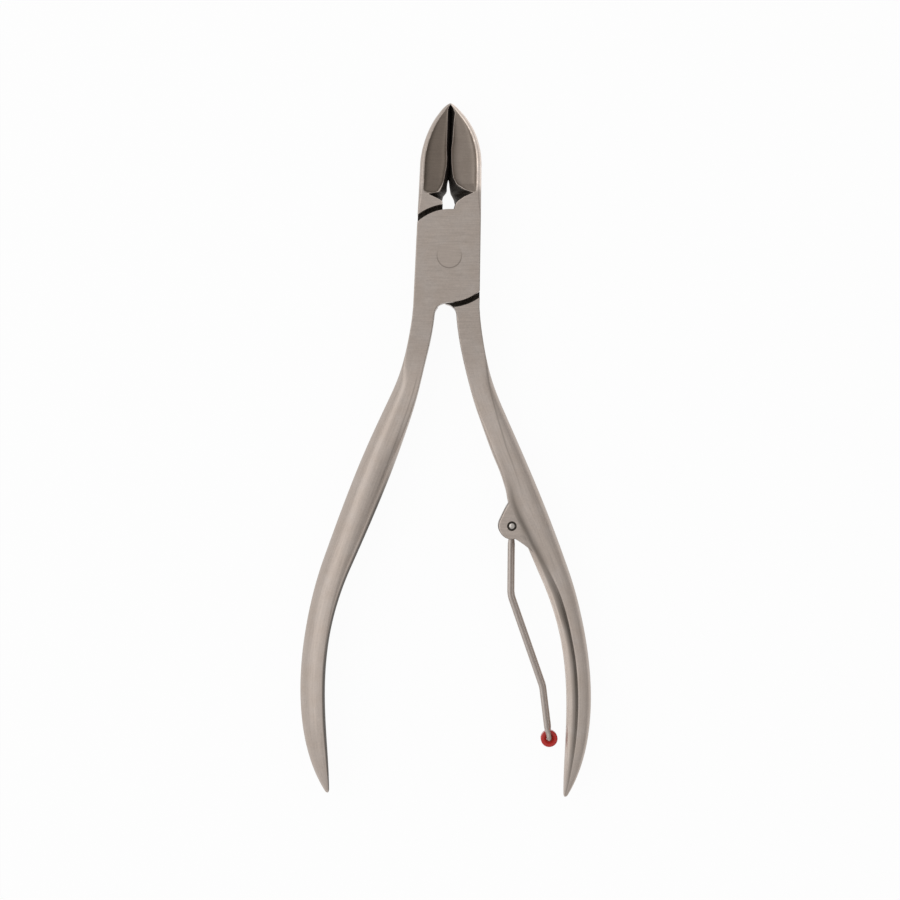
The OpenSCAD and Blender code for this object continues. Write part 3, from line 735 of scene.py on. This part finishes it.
def lever_surface(z, front):
    """One lever as rings from the handle's tip to the jaw's tip, turned back into the nipper's frame.

    Also returns what the finish needs at each point. The zone is the shares of handle, hollow and dark
    grain with painted shade. The flow is the length along the handle, the place around it and the share
    of painted highlight.
    """
    h, jaw = (z.left, z.right) if front else (z.right, z.left)
    # groove holds the handle's share of dark grain and painted shade
    grip, groove, sweep = handle_loops(z, h, front)
    head, ground, dark, rim = head_loops(z, h, jaw, front)
    points = np.concatenate([grip, head])
    if not front:
        points = out_of_slot(z, points * np.array([-1, 1, -1]) + np.array([0, 0, z.head_t]))
    drawn = ease(sweep[..., 0], *BRUSHED_ALONG)
    blank = np.zeros_like(rim)
    on_handle = np.stack([drawn, 0 * drawn, groove], -1)
    on_head = np.stack([blank, ground, dark], -1)
    flow = np.concatenate([sweep, np.stack([blank, blank, rim], -1)])
    return points, np.concatenate([on_handle, on_head]), flow


def grid_faces(rows, columns):
    """Quads of a grid that is closed both ways, as on a ring."""
    i, j = np.meshgrid(np.arange(rows), np.arange(columns), indexing="ij")
    a = i * columns + j
    b = i * columns + (j + 1) % columns
    up = (i + 1) % rows - i
    return np.stack([a, b, b + up * columns, a + up * columns], -1).reshape(-1, 4)


def tube_faces(rings, around):
    """Quads between successive rings, and a fan of triangles over each end."""
    last = (rings - 1) * around
    quads = grid_faces(rings, around)[:last]
    k = np.arange(1, around - 1)
    first_cap = np.stack([0 * k, k + 1, k, k], -1)
    last_cap = np.stack([last + 0 * k, last + k, last + k + 1, last + k + 1], -1)
    return np.concatenate([quads, first_cap, last_cap])


def welded(points, faces):
    """Merges points at one place and drops faces that vanish. Returns the kept points' numbers and faces."""
    key = np.round(points / 1e-4).astype(np.int64)
    _, kept, inverse = np.unique(key, axis=0, return_index=True, return_inverse=True)
    f = inverse.reshape(-1)[faces]
    same = f == np.roll(f, -1, axis=1)
    count = same.sum(1)
    quads = f[count == 0]
    quads = quads[(quads[:, 0] != quads[:, 2]) & (quads[:, 1] != quads[:, 3])]
    thin = f[count == 1]
    drop = np.argmax(same[count == 1], 1)
    keep = np.array([[1, 2, 3], [0, 2, 3], [0, 1, 3], [0, 1, 2]])[drop]
    tris = np.take_along_axis(thin, keep, 1)
    tris = tris[(tris[:, 0] != tris[:, 1]) & (tris[:, 1] != tris[:, 2]) & (tris[:, 0] != tris[:, 2])]
    return kept, quads.tolist() + tris.tolist()


def make_piece(name, shell, body, nodes, material, zone=None, flow=None, sharp=35):
    """A mesh in metres from a shell of points in millimetres and faces. It rides on a body, stands for
    CAD nodes and carries what its finish needs. Edges that turn by more than the angle sharp, in degrees,
    stay sharp."""
    points, faces = shell
    points = points.reshape(-1, 3)
    kept, polygons = welded(points, faces)
    mesh = bpy.data.meshes.new(name)
    mesh.from_pydata((points[kept] * MM).tolist(), [], polygons)
    for layer_name, values in (("zone", zone), ("flow", flow)):
        if values is not None:
            layer = mesh.attributes.new(layer_name, "FLOAT_VECTOR", "POINT")
            layer.data.foreach_set("vector", values.reshape(-1, 3)[kept].astype(np.float32).ravel())
    mesh.validate()
    mesh.shade_smooth()
    mesh.set_sharp_from_angle(angle=np.radians(sharp))
    piece = bpy.data.objects.new(name, mesh)
    bpy.context.scene.collection.objects.link(piece)
    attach(piece, body)
    if nodes:
        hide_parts(*nodes)
    mesh.materials.clear()
    mesh.materials.append(material)


def stacked(shells):
    """Several shells as one."""
    points = []
    faces = []
    start = 0
    for shell_points, shell_faces in shells:
        flat = shell_points.reshape(-1, 3)
        points.append(flat)
        faces.append(shell_faces + start)
        start += len(flat)
    return np.concatenate(points), np.concatenate(faces)


def turned(profile, at, steps):
    """A closed profile of radius and height turned about an upright axis."""
    r, height = np.array(profile, float).T
    a = np.linspace(0, 2 * np.pi, steps, endpoint=False)
    x = at[0] + np.cos(a)[:, None] * r
    y = at[1] + np.sin(a)[:, None] * r
    return np.stack([x, y, height + 0 * x], -1), grid_faces(steps, len(profile))


def arc(centre, r, a0, a1, n):
    """Places on a part of a circle, from the angle a0 to a1 in degrees."""
    a = np.radians(np.linspace(a0, a1, n))
    return np.stack([centre[0] + r * np.cos(a), centre[1] + r * np.sin(a)], -1)


def curve(a, b, c, n=16):
    """Places on a parabola from a to c that leaves and arrives towards b."""
    t = np.linspace(0, 1, n)[:, None]
    return (1 - t) ** 2 * np.array(a) + 2 * t * (1 - t) * np.array(b) + t**2 * np.array(c)


def lug_outline(z):
    """Outline of the lug about the pin, counter-clockwise, and the direction out across the handle.

    It runs from inside the handle to the upper corner, in a sweep to the round end, round that end, in a
    sweep back into the handle, and along a line inside the handle. Seen from the pin it never turns back,
    so that each spoke crosses it once.
    """
    a = angle_at(z, z.right, z.lug_at)
    down = along(a)
    out = outward(a)
    edge = z.lug_reach - z.right.swell_w / 2
    rim_start = 152
    rim_end = 285

    def place(u, v):
        return u * down + v * out

    corner = place(0.6 - z.lug_slope_up, 0.7 * edge)
    top = place(-z.lug_slope_up - 0.5, edge + 0.6)
    foot = place(z.lug_slope_down + 1.2, edge + 0.55)
    rim = arc((0, 0), z.lug_r, rim_start, rim_end, 60)
    upper = curve(corner, (-1.25, 2.85), rim[0])
    lower = curve(rim[-1], place(z.lug_slope_down - 0.9, 0.62 * edge), foot)
    into = np.linspace(top, corner, 6)
    deep = np.linspace(foot + 1.6 * out, top + 1.6 * out, 24)
    return np.concatenate([into, upper[1:], rim[1:], lower[1:], deep]), out


# Share of painted shade on the lug's walls and web, and its bright share
LUG_SHADE = 0.55
LUG_BRIGHT = 0.1


def lug_ears(z, outline, out):
    """Shells of the two ears, and the share of painted shade at their points: full in the recess ring round
    the pin, part on the walls and along the foot of the handle. An ear is a profile set on spokes from the
    pin, whose places are shares of the way to the outline."""
    reach = np.hypot(*outline.T)[:, None]
    spoke = outline / reach
    pin_r = z.pin_d / 2
    recess_r = pin_r + z.recess_w
    lip_r = recess_r + 0.05
    far = z.lug_t / 2
    near = z.slot_w / 2
    bevel = 0.16
    # share of the way to the outline, length added to it, height
    profile = [
        (0, pin_r, near),
        (0, pin_r, far - z.recess_depth),
        (0, recess_r, far - z.recess_depth),
        (0, recess_r, far - 0.05),
        *[(k, (1 - k) * lip_r - k * bevel, far) for k in np.linspace(0, 1, 9)],
        (1, -0.1, far - 0.02),
        (1, -0.04, far - 0.06),
        (1, 0, far - bevel),
        (1, 0, near),
    ]
    share, extra, height = np.array(profile, float).T
    flat = (extra + share * reach)[..., None] * spoke[:, None]
    # painted shade: full in the recess ring round the pin, part on the walls, and a band where the ear meets
    # the handle's foot
    in_ring = (share == 0) & (extra <= recess_r) & (height > near)
    on_wall = LUG_SHADE * ((share == 1) & (extra > -0.08))
    foot_at = z.lug_reach - 0.7 * z.right.swell_w / 2
    at_foot = 0.6 * bell(flat @ out, foot_at, 0.62) * (height == far)
    mark = np.maximum(in_ring + on_wall, at_foot).ravel()
    faces = grid_faces(len(outline), len(profile))
    shells = []
    for sign, turn in ((1, faces), (-1, faces[:, ::-1])):
        level = z.mid + sign * height + np.zeros(flat.shape[:2])
        shells.append((np.concatenate([z.pin_at + flat, level[..., None]], -1), turn))
    return shells, [mark, mark]


def lug_web(z, outline):
    """Web between the ears: from the slot's round floor to the outline, where the handle is behind."""
    turn = np.degrees(np.arctan2(outline[:, 1], outline[:, 0])) % 360
    behind = (turn < 178) | (turn > 312)
    order = np.argsort((turn[behind] + 180) % 360)
    a = np.radians(turn[behind][order])[:, None]
    outer = np.hypot(*outline.T)[behind][order]
    floor = np.full_like(outer, z.slot_r)
    r = np.stack([floor, outer, outer, floor], -1)
    height = z.mid + np.array([-1, -1, 1, 1]) * (z.slot_w / 2 + 0.02)
    web = np.stack([z.pin_at[0] + r * np.cos(a), z.pin_at[1] + r * np.sin(a), height + 0 * r], -1)
    return web, tube_faces(*r.shape)[:, ::-1]


def lug_surface(z):
    """The lug of two ears and a web, as one shell with its zone and flow."""
    outline, out = lug_outline(z)
    shells, marks = lug_ears(z, outline, out)
    web = lug_web(z, outline)
    shell = stacked([*shells, web])
    zone = np.zeros_like(shell[0])
    # painted shade on the ears and over the whole web inside the slot
    zone[:, 2] = np.concatenate([*marks, np.full(web[0].size // 3, LUG_SHADE)])
    flow = np.zeros_like(zone)
    flow[:, 2] = LUG_BRIGHT
    return shell, zone, flow


def wire_path(z):
    """Centre line of a leg of the spring: an eye round the pin, a small arc, and three runs with two bends.

    Returns its points, the angles ahead and the roller's place."""
    eye_r = z.pin_d / 2 + z.eye_clearance + z.wire_d / 2
    hook_r = eye_r + z.eye_lead_r
    hook = -np.arccos(z.eye_lead_r / hook_r)
    bend_1 = z.pin_at + z.leg_1 * along(z.leg_1_angle)
    bend_2 = bend_1 + z.leg_2 * along(z.leg_2_angle)
    roller_at = bend_2 + z.leg_3 * along(z.leg_3_angle)
    eye_a = z.leg_1_angle + np.linspace(z.eye_turn, hook, 48)
    eye = z.pin_at + eye_r * outward(eye_a)
    lead_a = z.leg_1_angle + np.linspace(hook, 0, 14)[1:]
    lead = z.pin_at + hook_r * outward(z.leg_1_angle + hook) - z.eye_lead_r * outward(lead_a)

    def bend(corner, a0, a1):
        r = np.sign(a1 - a0) * z.bend_r
        a = np.linspace(a0, a1, 12)
        start = corner - z.bend_r * np.tan(abs(a1 - a0) / 2) * along(a0)
        return start + r * outward(a0) - r * outward(a), a

    upper, upper_a = bend(bend_1, z.leg_1_angle, z.leg_2_angle)
    lower, lower_a = bend(bend_2, z.leg_2_angle, z.leg_3_angle)
    end = roller_at - z.corner_r * along(z.leg_3_angle)
    points = np.concatenate([eye, lead, upper, lower, end[None]])
    return points, np.concatenate([eye_a, lead_a, upper_a, lower_a, [z.leg_3_angle]]), roller_at


def lengths_along(points):
    """Length along a line at each of its points."""
    return np.append(0, np.cumsum(np.linalg.norm(np.diff(points, axis=0), axis=1)))


def wire_surface(z):
    """A round section carried along one leg, the turn into the cross bar, and the same back on the other
    leg, with rounded ends. Its flow is the length along the wire and the place around it."""
    ring_gap = 0.35
    end_round = 0.12
    path, heading, roller_at = wire_path(z)
    at = lengths_along(path)
    s = np.unique(np.append(at, np.arange(0, at[-1], ring_gap)))
    path = np.stack([np.interp(s, at, path[:, 0]), np.interp(s, at, path[:, 1])], -1)
    heading = np.interp(s, at, heading)
    # the legs part below the eyes and meet again at the roller
    aside = z.leg_aside * stretch(s, 5.2, 7.6, s[-1] - 1.6, s[-1])
    ahead = along(z.leg_3_angle)
    turn = np.linspace(0, np.pi / 2, 10)

    def leg(sign):
        """Centres of the leg's rings, with two directions across the wire."""
        level = np.full_like(s, z.mid + sign * z.leg_spacing / 2)
        centres = np.column_stack([path[:, 0] - sign * aside, path[:, 1], level])
        u = np.column_stack([outward(heading), 0 * s])
        v = np.tile([0.0, 0.0, sign], (len(s), 1))
        return centres, u, v

    def corner(sign):
        """The same for the turn into the cross bar."""
        level = z.mid + sign * (z.leg_spacing / 2 - z.corner_r)
        v = np.column_stack([np.sin(turn)[:, None] * ahead, sign * np.cos(turn)])
        u = np.tile(np.append(outward(z.leg_3_angle), 0), (len(turn), 1))
        return np.append(roller_at - z.corner_r * ahead, level) + z.corner_r * v, u, v

    front = [np.concatenate(pair) for pair in zip(leg(1), corner(1))]
    rear = [np.concatenate(pair)[::-1] for pair in zip(leg(-1), corner(-1))]
    centres, u, v = (np.concatenate(pair)[:, None] for pair in zip(front, rear))
    length_at = lengths_along(centres[:, 0])[:, None]
    to_end = np.minimum(length_at, length_at[-1] - length_at)
    r = z.wire_d / 2 * quarter_round(to_end / end_round, 0.3)
    a = np.linspace(0, 2 * np.pi, 20, endpoint=False)
    rings = centres + r[..., None] * (np.cos(a)[:, None] * u + np.sin(a)[:, None] * v)
    length_at = length_at + 0 * a
    flow = np.stack([length_at, a * z.wire_d / 2 + 0 * length_at, 0 * length_at], -1)
    return (rings, tube_faces(*rings.shape[:2])), flow


class Socket:
    """A node's output, so that shader maths reads as Python."""

    def __init__(self, shader, socket):
        self.shader = shader
        self.socket = socket

    def _math(self, operation, a, b):
        return self.shader.node("ShaderNodeMath", {"operation": operation}, {0: a, 1: b})

    def __add__(self, other):
        return self._math("ADD", self, other)

    __radd__ = __add__

    def __mul__(self, other):
        return self._math("MULTIPLY", self, other)

    __rmul__ = __mul__

    def __sub__(self, other):
        return self._math("SUBTRACT", self, other)

    def __rsub__(self, other):
        return self._math("SUBTRACT", other, self)

    def __pow__(self, other):
        return self._math("POWER", self, other)

    def mapped(self, low, high, to_low=0.0, to_high=1.0):
        """The value moved from one range to another, and kept inside it."""
        return self.shader.node(
            "ShaderNodeMapRange",
            {"clamp": True},
            {"Value": self, "From Min": low, "From Max": high, "To Min": to_low, "To Max": to_high},
        )


class Shader:
    """The nodes of a material or of the world, made one after another."""

    def __init__(self, name, kind="materials"):
        self.material = getattr(bpy.data, kind).new(name)
        self.material.use_nodes = True
        self.tree = self.material.node_tree
        self.tree.nodes.clear()

    def node(self, kind, settings=None, values=None, output=0):
        """Any node: its settings first, then its sockets' values or links. Returns one of its outputs."""
        made = self.tree.nodes.new(kind)
        for key, value in (settings or {}).items():
            setattr(made, key, value)
        for key, value in (values or {}).items():
            socket = made.inputs[key]
            if isinstance(value, Socket):
                self.tree.links.new(value.socket, socket)
            elif socket.type == "RGBA" and len(value) == 3:
                socket.default_value = (*value, 1)
            else:
                socket.default_value = value
        return Socket(self, made.outputs[output]) if len(made.outputs) else None

    def scaled(self, vector, factors):
        """A vector with each of its numbers times a factor."""
        return self.node("ShaderNodeVectorMath", {"operation": "MULTIPLY"}, {0: vector, 1: factors})

    def place(self):
        """Object coordinates in millimetres."""
        at = self.node("ShaderNodeTexCoord", output="Object")
        return self.scaled(at, (1 / MM, 1 / MM, 1 / MM))

    def attribute(self, name):
        """A vector that the mesh carries."""
        return self.node("ShaderNodeAttribute", {"attribute_name": name}, output="Vector")

    def parts(self, vector):
        """The three numbers of a vector."""
        made = self.node("ShaderNodeSeparateXYZ", None, {0: vector}).socket.node
        return [Socket(self, made.outputs[i]) for i in range(3)]

    def noise(self, vector, stretched, scale=1.0, detail=3.0, rough=0.6):
        """Noise on a vector that is stretched first."""
        at = self.scaled(vector, stretched)
        values = {"Vector": at, "Scale": scale, "Detail": detail, "Roughness": rough}
        return self.node("ShaderNodeTexNoise", None, values)

    def blend(self, factor, a, b):
        """Two colours mixed by a factor."""
        return self.node("ShaderNodeMix", {"data_type": "RGBA"}, {0: factor, 6: a, 7: b}, output=2)

    def tint(self, shade, value):
        """A colour times a number."""
        return self.node("ShaderNodeVectorMath", {"operation": "SCALE"}, {0: tuple(shade), "Scale": value})

    def bump(self, height, strength, distance):
        """A normal tilted by a height, over a distance in millimetres."""
        values = {"Strength": strength, "Distance": distance * MM, "Height": height}
        return self.node("ShaderNodeBump", None, values)

    def finish(self, **values):
        """The main shader with the given sockets, put out as the surface."""
        values = {key.replace("_", " ").title(): value for key, value in values.items()}
        shader = self.node("ShaderNodeBsdfPrincipled", None, values)
        self.node("ShaderNodeOutputMaterial", None, {"Surface": shader})
        return self.material


# How much finer than a millimetre each noise is along the three axes, or along the length and around
ACROSS_HEAD = (0.22, 4, 1)
ALONG_HANDLE = (0.16, 4, 0)
ACROSS_HOLLOW = (0.35, 4, 0.3)
ALONG_WIRE = (0.4, 12, 1)
CLOUDS = (0.35, 0.35, 0.35)
GRAIN = (4.5, 4.5, 4.5)
DENTS = (3, 3, 3)
SPOTS = (2.2, 2.2, 2.2)
MOTTLE = (2.5, 2.5, 2.5)
SCUFFS = (9, 2, 5)


def brushed_steel(finish):
    """Satin steel: lines across the head, along the handles and across the hollows, dark grain with painted
    shade in grooves, gaps and edges, and painted highlights.
    """
    sh = Shader("brushed_steel")
    at = sh.place()
    flow = sh.attribute("flow")
    drawn, ground, dark = sh.parts(sh.attribute("zone"))
    _, _, rim = sh.parts(flow)
    across = sh.noise(at, ACROSS_HEAD, detail=4, rough=0.7)
    lengthwise = sh.noise(flow, ALONG_HANDLE, detail=4, rough=0.7)
    lines = across * (1 - drawn) + lengthwise * drawn
    wheel = sh.noise(at, ACROSS_HOLLOW, scale=1.3, detail=4, rough=0.75)
    lines = lines * (1 - ground) + wheel * ground
    cloud = sh.noise(at, CLOUDS, detail=2, rough=0.5)
    grain = sh.noise(at, GRAIN, rough=0.7)
    level = 0.47 + lines * 0.54 + cloud * 0.12 + grain * 0.4
    # painted shade darkens the hollows, more on the left jaw, and the head's flats below the drawn handles;
    # painted highlight lightens the rims and the land, and the lug by its bright share
    level = level * (1 - ground * 0.5) * (0.94 + drawn * 0.19) * (1 + rim * 1.15)
    steel = sh.tint(finish.steel, level)
    flats = sh.blend(cloud.mapped(0.35, 0.7), steel, sh.tint(finish.worn, level))
    polished = sh.blend(ground, flats, sh.tint(finish.hollow, level))
    # dark grain and painted shade, mixed in by the zone's dark share
    dark_grain_and_shade = (dark * grain.mapped(0.25, 0.65, 0.75, 1.0)).mapped(0.0, 1.0)
    base = sh.blend(dark_grain_and_shade, polished, sh.tint(finish.scale, level))
    rough = 0.34 + lines * 0.12 + grain * 0.06 + dark * 0.25 + ground * 0.2 + drawn * 0.07
    height = lines * 0.6 + grain * 0.25 * (1 + dark * 4)
    return sh.finish(base_color=base, roughness=rough, metallic=1.0, normal=sh.bump(height, 0.25, 0.03))


def ground_steel(finish):
    """End of the rivet: fine lines across, and a dark line at its rim for the joint, with painted shade that
    is strongest at the lower side and fades upwards.
    """
    sh = Shader("ground_steel")
    at = sh.place()
    x, y, _ = sh.parts(at)
    rim = ((x * x + y * y) ** 0.5).mapped(1.94, 2.08)
    # dark joint line at the rim, with painted shade strongest at the lower side
    joint_and_shade = rim * y.mapped(1.2, -0.8, 0.0, 0.36)
    lines = sh.noise(at, ACROSS_HEAD, detail=4, rough=0.7)
    grain = sh.noise(at, GRAIN, rough=0.7)
    base = sh.tint(finish.rivet, (0.66 + lines * 0.5 + grain * 0.18) * 0.94 * (1 - joint_and_shade))
    rough = 0.3 + lines * 0.14
    return sh.finish(base_color=base, roughness=rough, metallic=1.0, normal=sh.bump(lines, 0.25, 0.03))


def pin_steel(finish):
    """End of the pin: polished, with small dents."""
    sh = Shader("pin_steel")
    dents = sh.noise(sh.place(), DENTS)
    base = sh.tint(finish.pin, 0.8 + dents * 0.4)
    rough = 0.2 + dents * 0.15
    return sh.finish(base_color=base, roughness=rough, metallic=1.0, normal=sh.bump(dents, 0.4, 0.06))


def drawn_wire(finish):
    """Spring wire: fine lines along its length and dull spots."""
    sh = Shader("drawn_wire")
    lines = sh.noise(sh.attribute("flow"), ALONG_WIRE)
    spots = sh.noise(sh.place(), SPOTS, rough=0.65)
    base = sh.tint(finish.wire, 0.7 + lines * 0.3 + spots * 0.3)
    rough = 0.3 + spots * 0.2
    return sh.finish(base_color=base, roughness=rough, metallic=1.0, normal=sh.bump(lines + spots, 0.3, 0.03))


def red_plastic(finish):
    """Moulded plastic: faintly mottled, with scuffs that dull it."""
    sh = Shader("red_plastic")
    at = sh.place()
    mottle = sh.noise(at, MOTTLE)
    scuff = sh.noise(at, SCUFFS, detail=4, rough=0.7).mapped(0.55, 0.75)
    shade = sh.tint(finish.plastic, 0.75 + mottle * 0.5)
    base = sh.blend(scuff * 0.25, shade, tuple(finish.scuff))
    rough = 0.28 + scuff * 0.25
    return sh.finish(base_color=base, roughness=rough, normal=sh.bump(mottle + scuff, 0.3, 0.04))


def paper_white():
    """White floor that takes faint shadows and is almost plain white to the camera and in reflections."""
    sh = Shader("paper_white")
    seen = sh.node("ShaderNodeLightPath", output="Is Camera Ray")
    mirrored = sh.node("ShaderNodeLightPath", output="Is Glossy Ray")
    through = sh.node("ShaderNodeLightPath", output="Is Transmission Ray")
    lit = sh.node("ShaderNodeBsdfDiffuse", None, {"Color": (0.9, 0.9, 0.9)})
    glow = sh.node("ShaderNodeEmission", None, {"Color": (1, 1, 1), "Strength": 1.0})
    factor = (seen + mirrored + through).mapped(0, 1, 0.0, 0.95)
    mixed = sh.node("ShaderNodeMixShader", None, {0: factor, 1: lit, 2: glow})
    sh.node("ShaderNodeOutputMaterial", None, {"Surface": mixed})
    return sh.material


def studio_world():
    """Soft light from all around, stronger from the left, and plain white to the camera."""
    sh = Shader("studio", "worlds")
    seen = sh.node("ShaderNodeLightPath", output="Is Camera Ray")
    x, _, _ = sh.parts(sh.node("ShaderNodeTexCoord", output="Generated"))
    level = x.mapped(-1, 0, 0.8, 0.62) - x.mapped(0, 1, 0.0, 0.13)
    strength = level * (1 - seen) + seen
    light = sh.node("ShaderNodeBackground", None, {"Color": (1, 1, 1), "Strength": strength})
    sh.node("ShaderNodeOutputWorld", None, {"Surface": light})
    return sh.material


class NIPPER_OT_levers(bpy.types.Operator):
    """Front and rear levers, with the lug on the rear one."""

    bl_idname = "nipper.levers"
    bl_label = "Levers"

    def execute(self, context):
        z = sizes(context)
        steel = brushed_steel(context.scene.nipper_finish)
        for node, front in (("front_lever", True), ("rear_lever", False)):
            points, zone, flow = lever_surface(z, front)
            shell = (points, tube_faces(*points.shape[:2]))
            make_piece(node + "_form", shell, node, [node], steel, zone, flow)
        shell, zone, flow = lug_surface(z)
        make_piece("spring_lug", shell, "rear_lever", [], steel, zone, flow)
        return {"FINISHED"}


class NIPPER_OT_rivets(bpy.types.Operator):
    """Joint rivet and spring pin, turned about their axes."""

    bl_idname = "nipper.rivets"
    bl_label = "Rivet and pin"

    def execute(self, context):
        z = sizes(context)
        finish = context.scene.nipper_finish
        r = z.rivet_d / 2
        bevel = 0.0015
        half = [(0, 0), (r / 2, 0), (r - bevel, 0), (r, bevel)]
        profile = half + [(x, z.head_t - y) for x, y in half[::-1]]
        points, faces = turned(profile, (0, 0), 96)
        shell = (points, faces[:, ::-1])
        steel = ground_steel(finish)
        make_piece("joint_rivet_form", shell, "front_lever", ["joint_rivet"], steel)
        r = z.pin_d / 2
        dome = 0.14
        flank = z.lug_t / 2 - dome
        cap = [(r * np.cos(a), flank + dome * np.sin(a)) for a in np.radians([0, 25, 45, 62, 78])]
        half = cap + [(0, flank + dome)]
        profile = [(x, z.mid - y) for x, y in half[::-1]] + [(x, z.mid + y) for x, y in half]
        points, faces = turned(profile, z.pin_at, 40)
        shell = (points, faces[:, ::-1])
        steel = pin_steel(finish)
        make_piece("spring_pin_form", shell, "rear_lever", ["spring_pin"], steel, sharp=60)
        return {"FINISHED"}


class NIPPER_OT_spring(bpy.types.Operator):
    """Spring wire and its roller."""

    bl_idname = "nipper.spring"
    bl_label = "Spring and roller"

    def execute(self, context):
        z = sizes(context)
        finish = context.scene.nipper_finish
        shell, flow = wire_surface(z)
        wire = drawn_wire(finish)
        nodes = ["spring_wire"]
        make_piece("spring_wire_form", shell, "spring", nodes, wire, flow=flow, sharp=50)
        half = z.roller_l / 2
        sink_r = z.countersink_d / 2
        lip = 0.04
        hole = [(z.roller_hole / 2, half - z.countersink_depth), (sink_r, half - lip), (sink_r + lip, half)]
        edge = arc((z.roller_d / 2 - z.roller_edge, half - z.roller_edge), z.roller_edge, 90, 0, 7)
        upper = hole + [tuple(place) for place in edge]
        profile = [(x, z.mid + y) for x, y in upper] + [(x, z.mid - y) for x, y in upper[::-1]]
        _, _, roller_at = wire_path(z)
        shell = turned(profile, roller_at, 72)
        make_piece("roller_form", shell, "roller", ["roller"], red_plastic(finish), sharp=40)
        return {"FINISHED"}


# Stage, in metres and degrees
CAMERA_AT = (0.00043, -0.03346, 0.437)
CAMERA_ROLL = 0.53
LENS_MM = 100
SENSOR_MM = 36
FLOOR_HALF = 1.5
FLOOR_Z = -0.0004
LAMP_AT = (-0.38, 0.1, 0.62)
LAMP_SIZE = 0.6


class NIPPER_OT_stage(bpy.types.Operator):
    """Camera, floor and soft light."""

    bl_idname = "nipper.stage"
    bl_label = "Photo stage"

    def execute(self, context):
        scene = context.scene
        lens = bpy.data.cameras.new("photo_camera")
        lens.lens = LENS_MM
        lens.sensor_width = SENSOR_MM
        lens.clip_end = 10
        camera = bpy.data.objects.new("photo_camera", lens)
        camera.location = CAMERA_AT
        camera.rotation_euler = (0, 0, np.radians(CAMERA_ROLL))
        scene.collection.objects.link(camera)
        scene.camera = camera
        corners = [(FLOOR_HALF * x, FLOOR_HALF * y, FLOOR_Z) for x, y in ((-1, -1), (1, -1), (1, 1), (-1, 1))]
        sheet = bpy.data.meshes.new("floor")
        sheet.from_pydata(corners, [], [(0, 1, 2, 3)])
        sheet.materials.append(paper_white())
        floor = bpy.data.objects.new("floor", sheet)
        scene.collection.objects.link(floor)
        light = bpy.data.lights.new("left_lamp", "AREA")
        light.energy = scene.nipper_finish.key
        light.size = LAMP_SIZE
        lamp = bpy.data.objects.new("left_lamp", light)
        lamp.location = LAMP_AT
        lamp.rotation_euler = (-lamp.location).to_track_quat("-Z", "Y").to_euler()
        scene.collection.objects.link(lamp)
        scene.world = studio_world()
        scene.view_settings.view_transform = "Standard"
        return {"FINISHED"}


OPERATORS = ("nipper.levers", "nipper.rivets", "nipper.spring", "nipper.stage")


class NIPPER_PT_panel(bpy.types.Panel):
    """The nipper's pieces and stage."""

    bl_label = "Nail nipper"
    bl_idname = "NIPPER_PT_panel"
    bl_space_type = "VIEW_3D"
    bl_region_type = "UI"
    bl_category = "Nipper"

    def draw(self, context):
        for name in OPERATORS:
            self.layout.operator(name)


CLASSES = (
    NipperSizes,
    NipperFinish,
    NIPPER_OT_levers,
    NIPPER_OT_rivets,
    NIPPER_OT_spring,
    NIPPER_OT_stage,
    NIPPER_PT_panel,
)


def register():
    for cls in CLASSES:
        bpy.utils.register_class(cls)
    bpy.types.Scene.nipper_sizes = bpy.props.PointerProperty(type=NipperSizes)
    bpy.types.Scene.nipper_finish = bpy.props.PointerProperty(type=NipperFinish)


def unregister():
    del bpy.types.Scene.nipper_finish
    del bpy.types.Scene.nipper_sizes
    for cls in reversed(CLASSES):
        bpy.utils.unregister_class(cls)


def main():
    register()
    bpy.ops.nipper.levers()
    bpy.ops.nipper.rivets()
    bpy.ops.nipper.spring()
    bpy.ops.nipper.stage()
    bpy.context.view_layer.update()


if __name__ == "__main__":
    main()
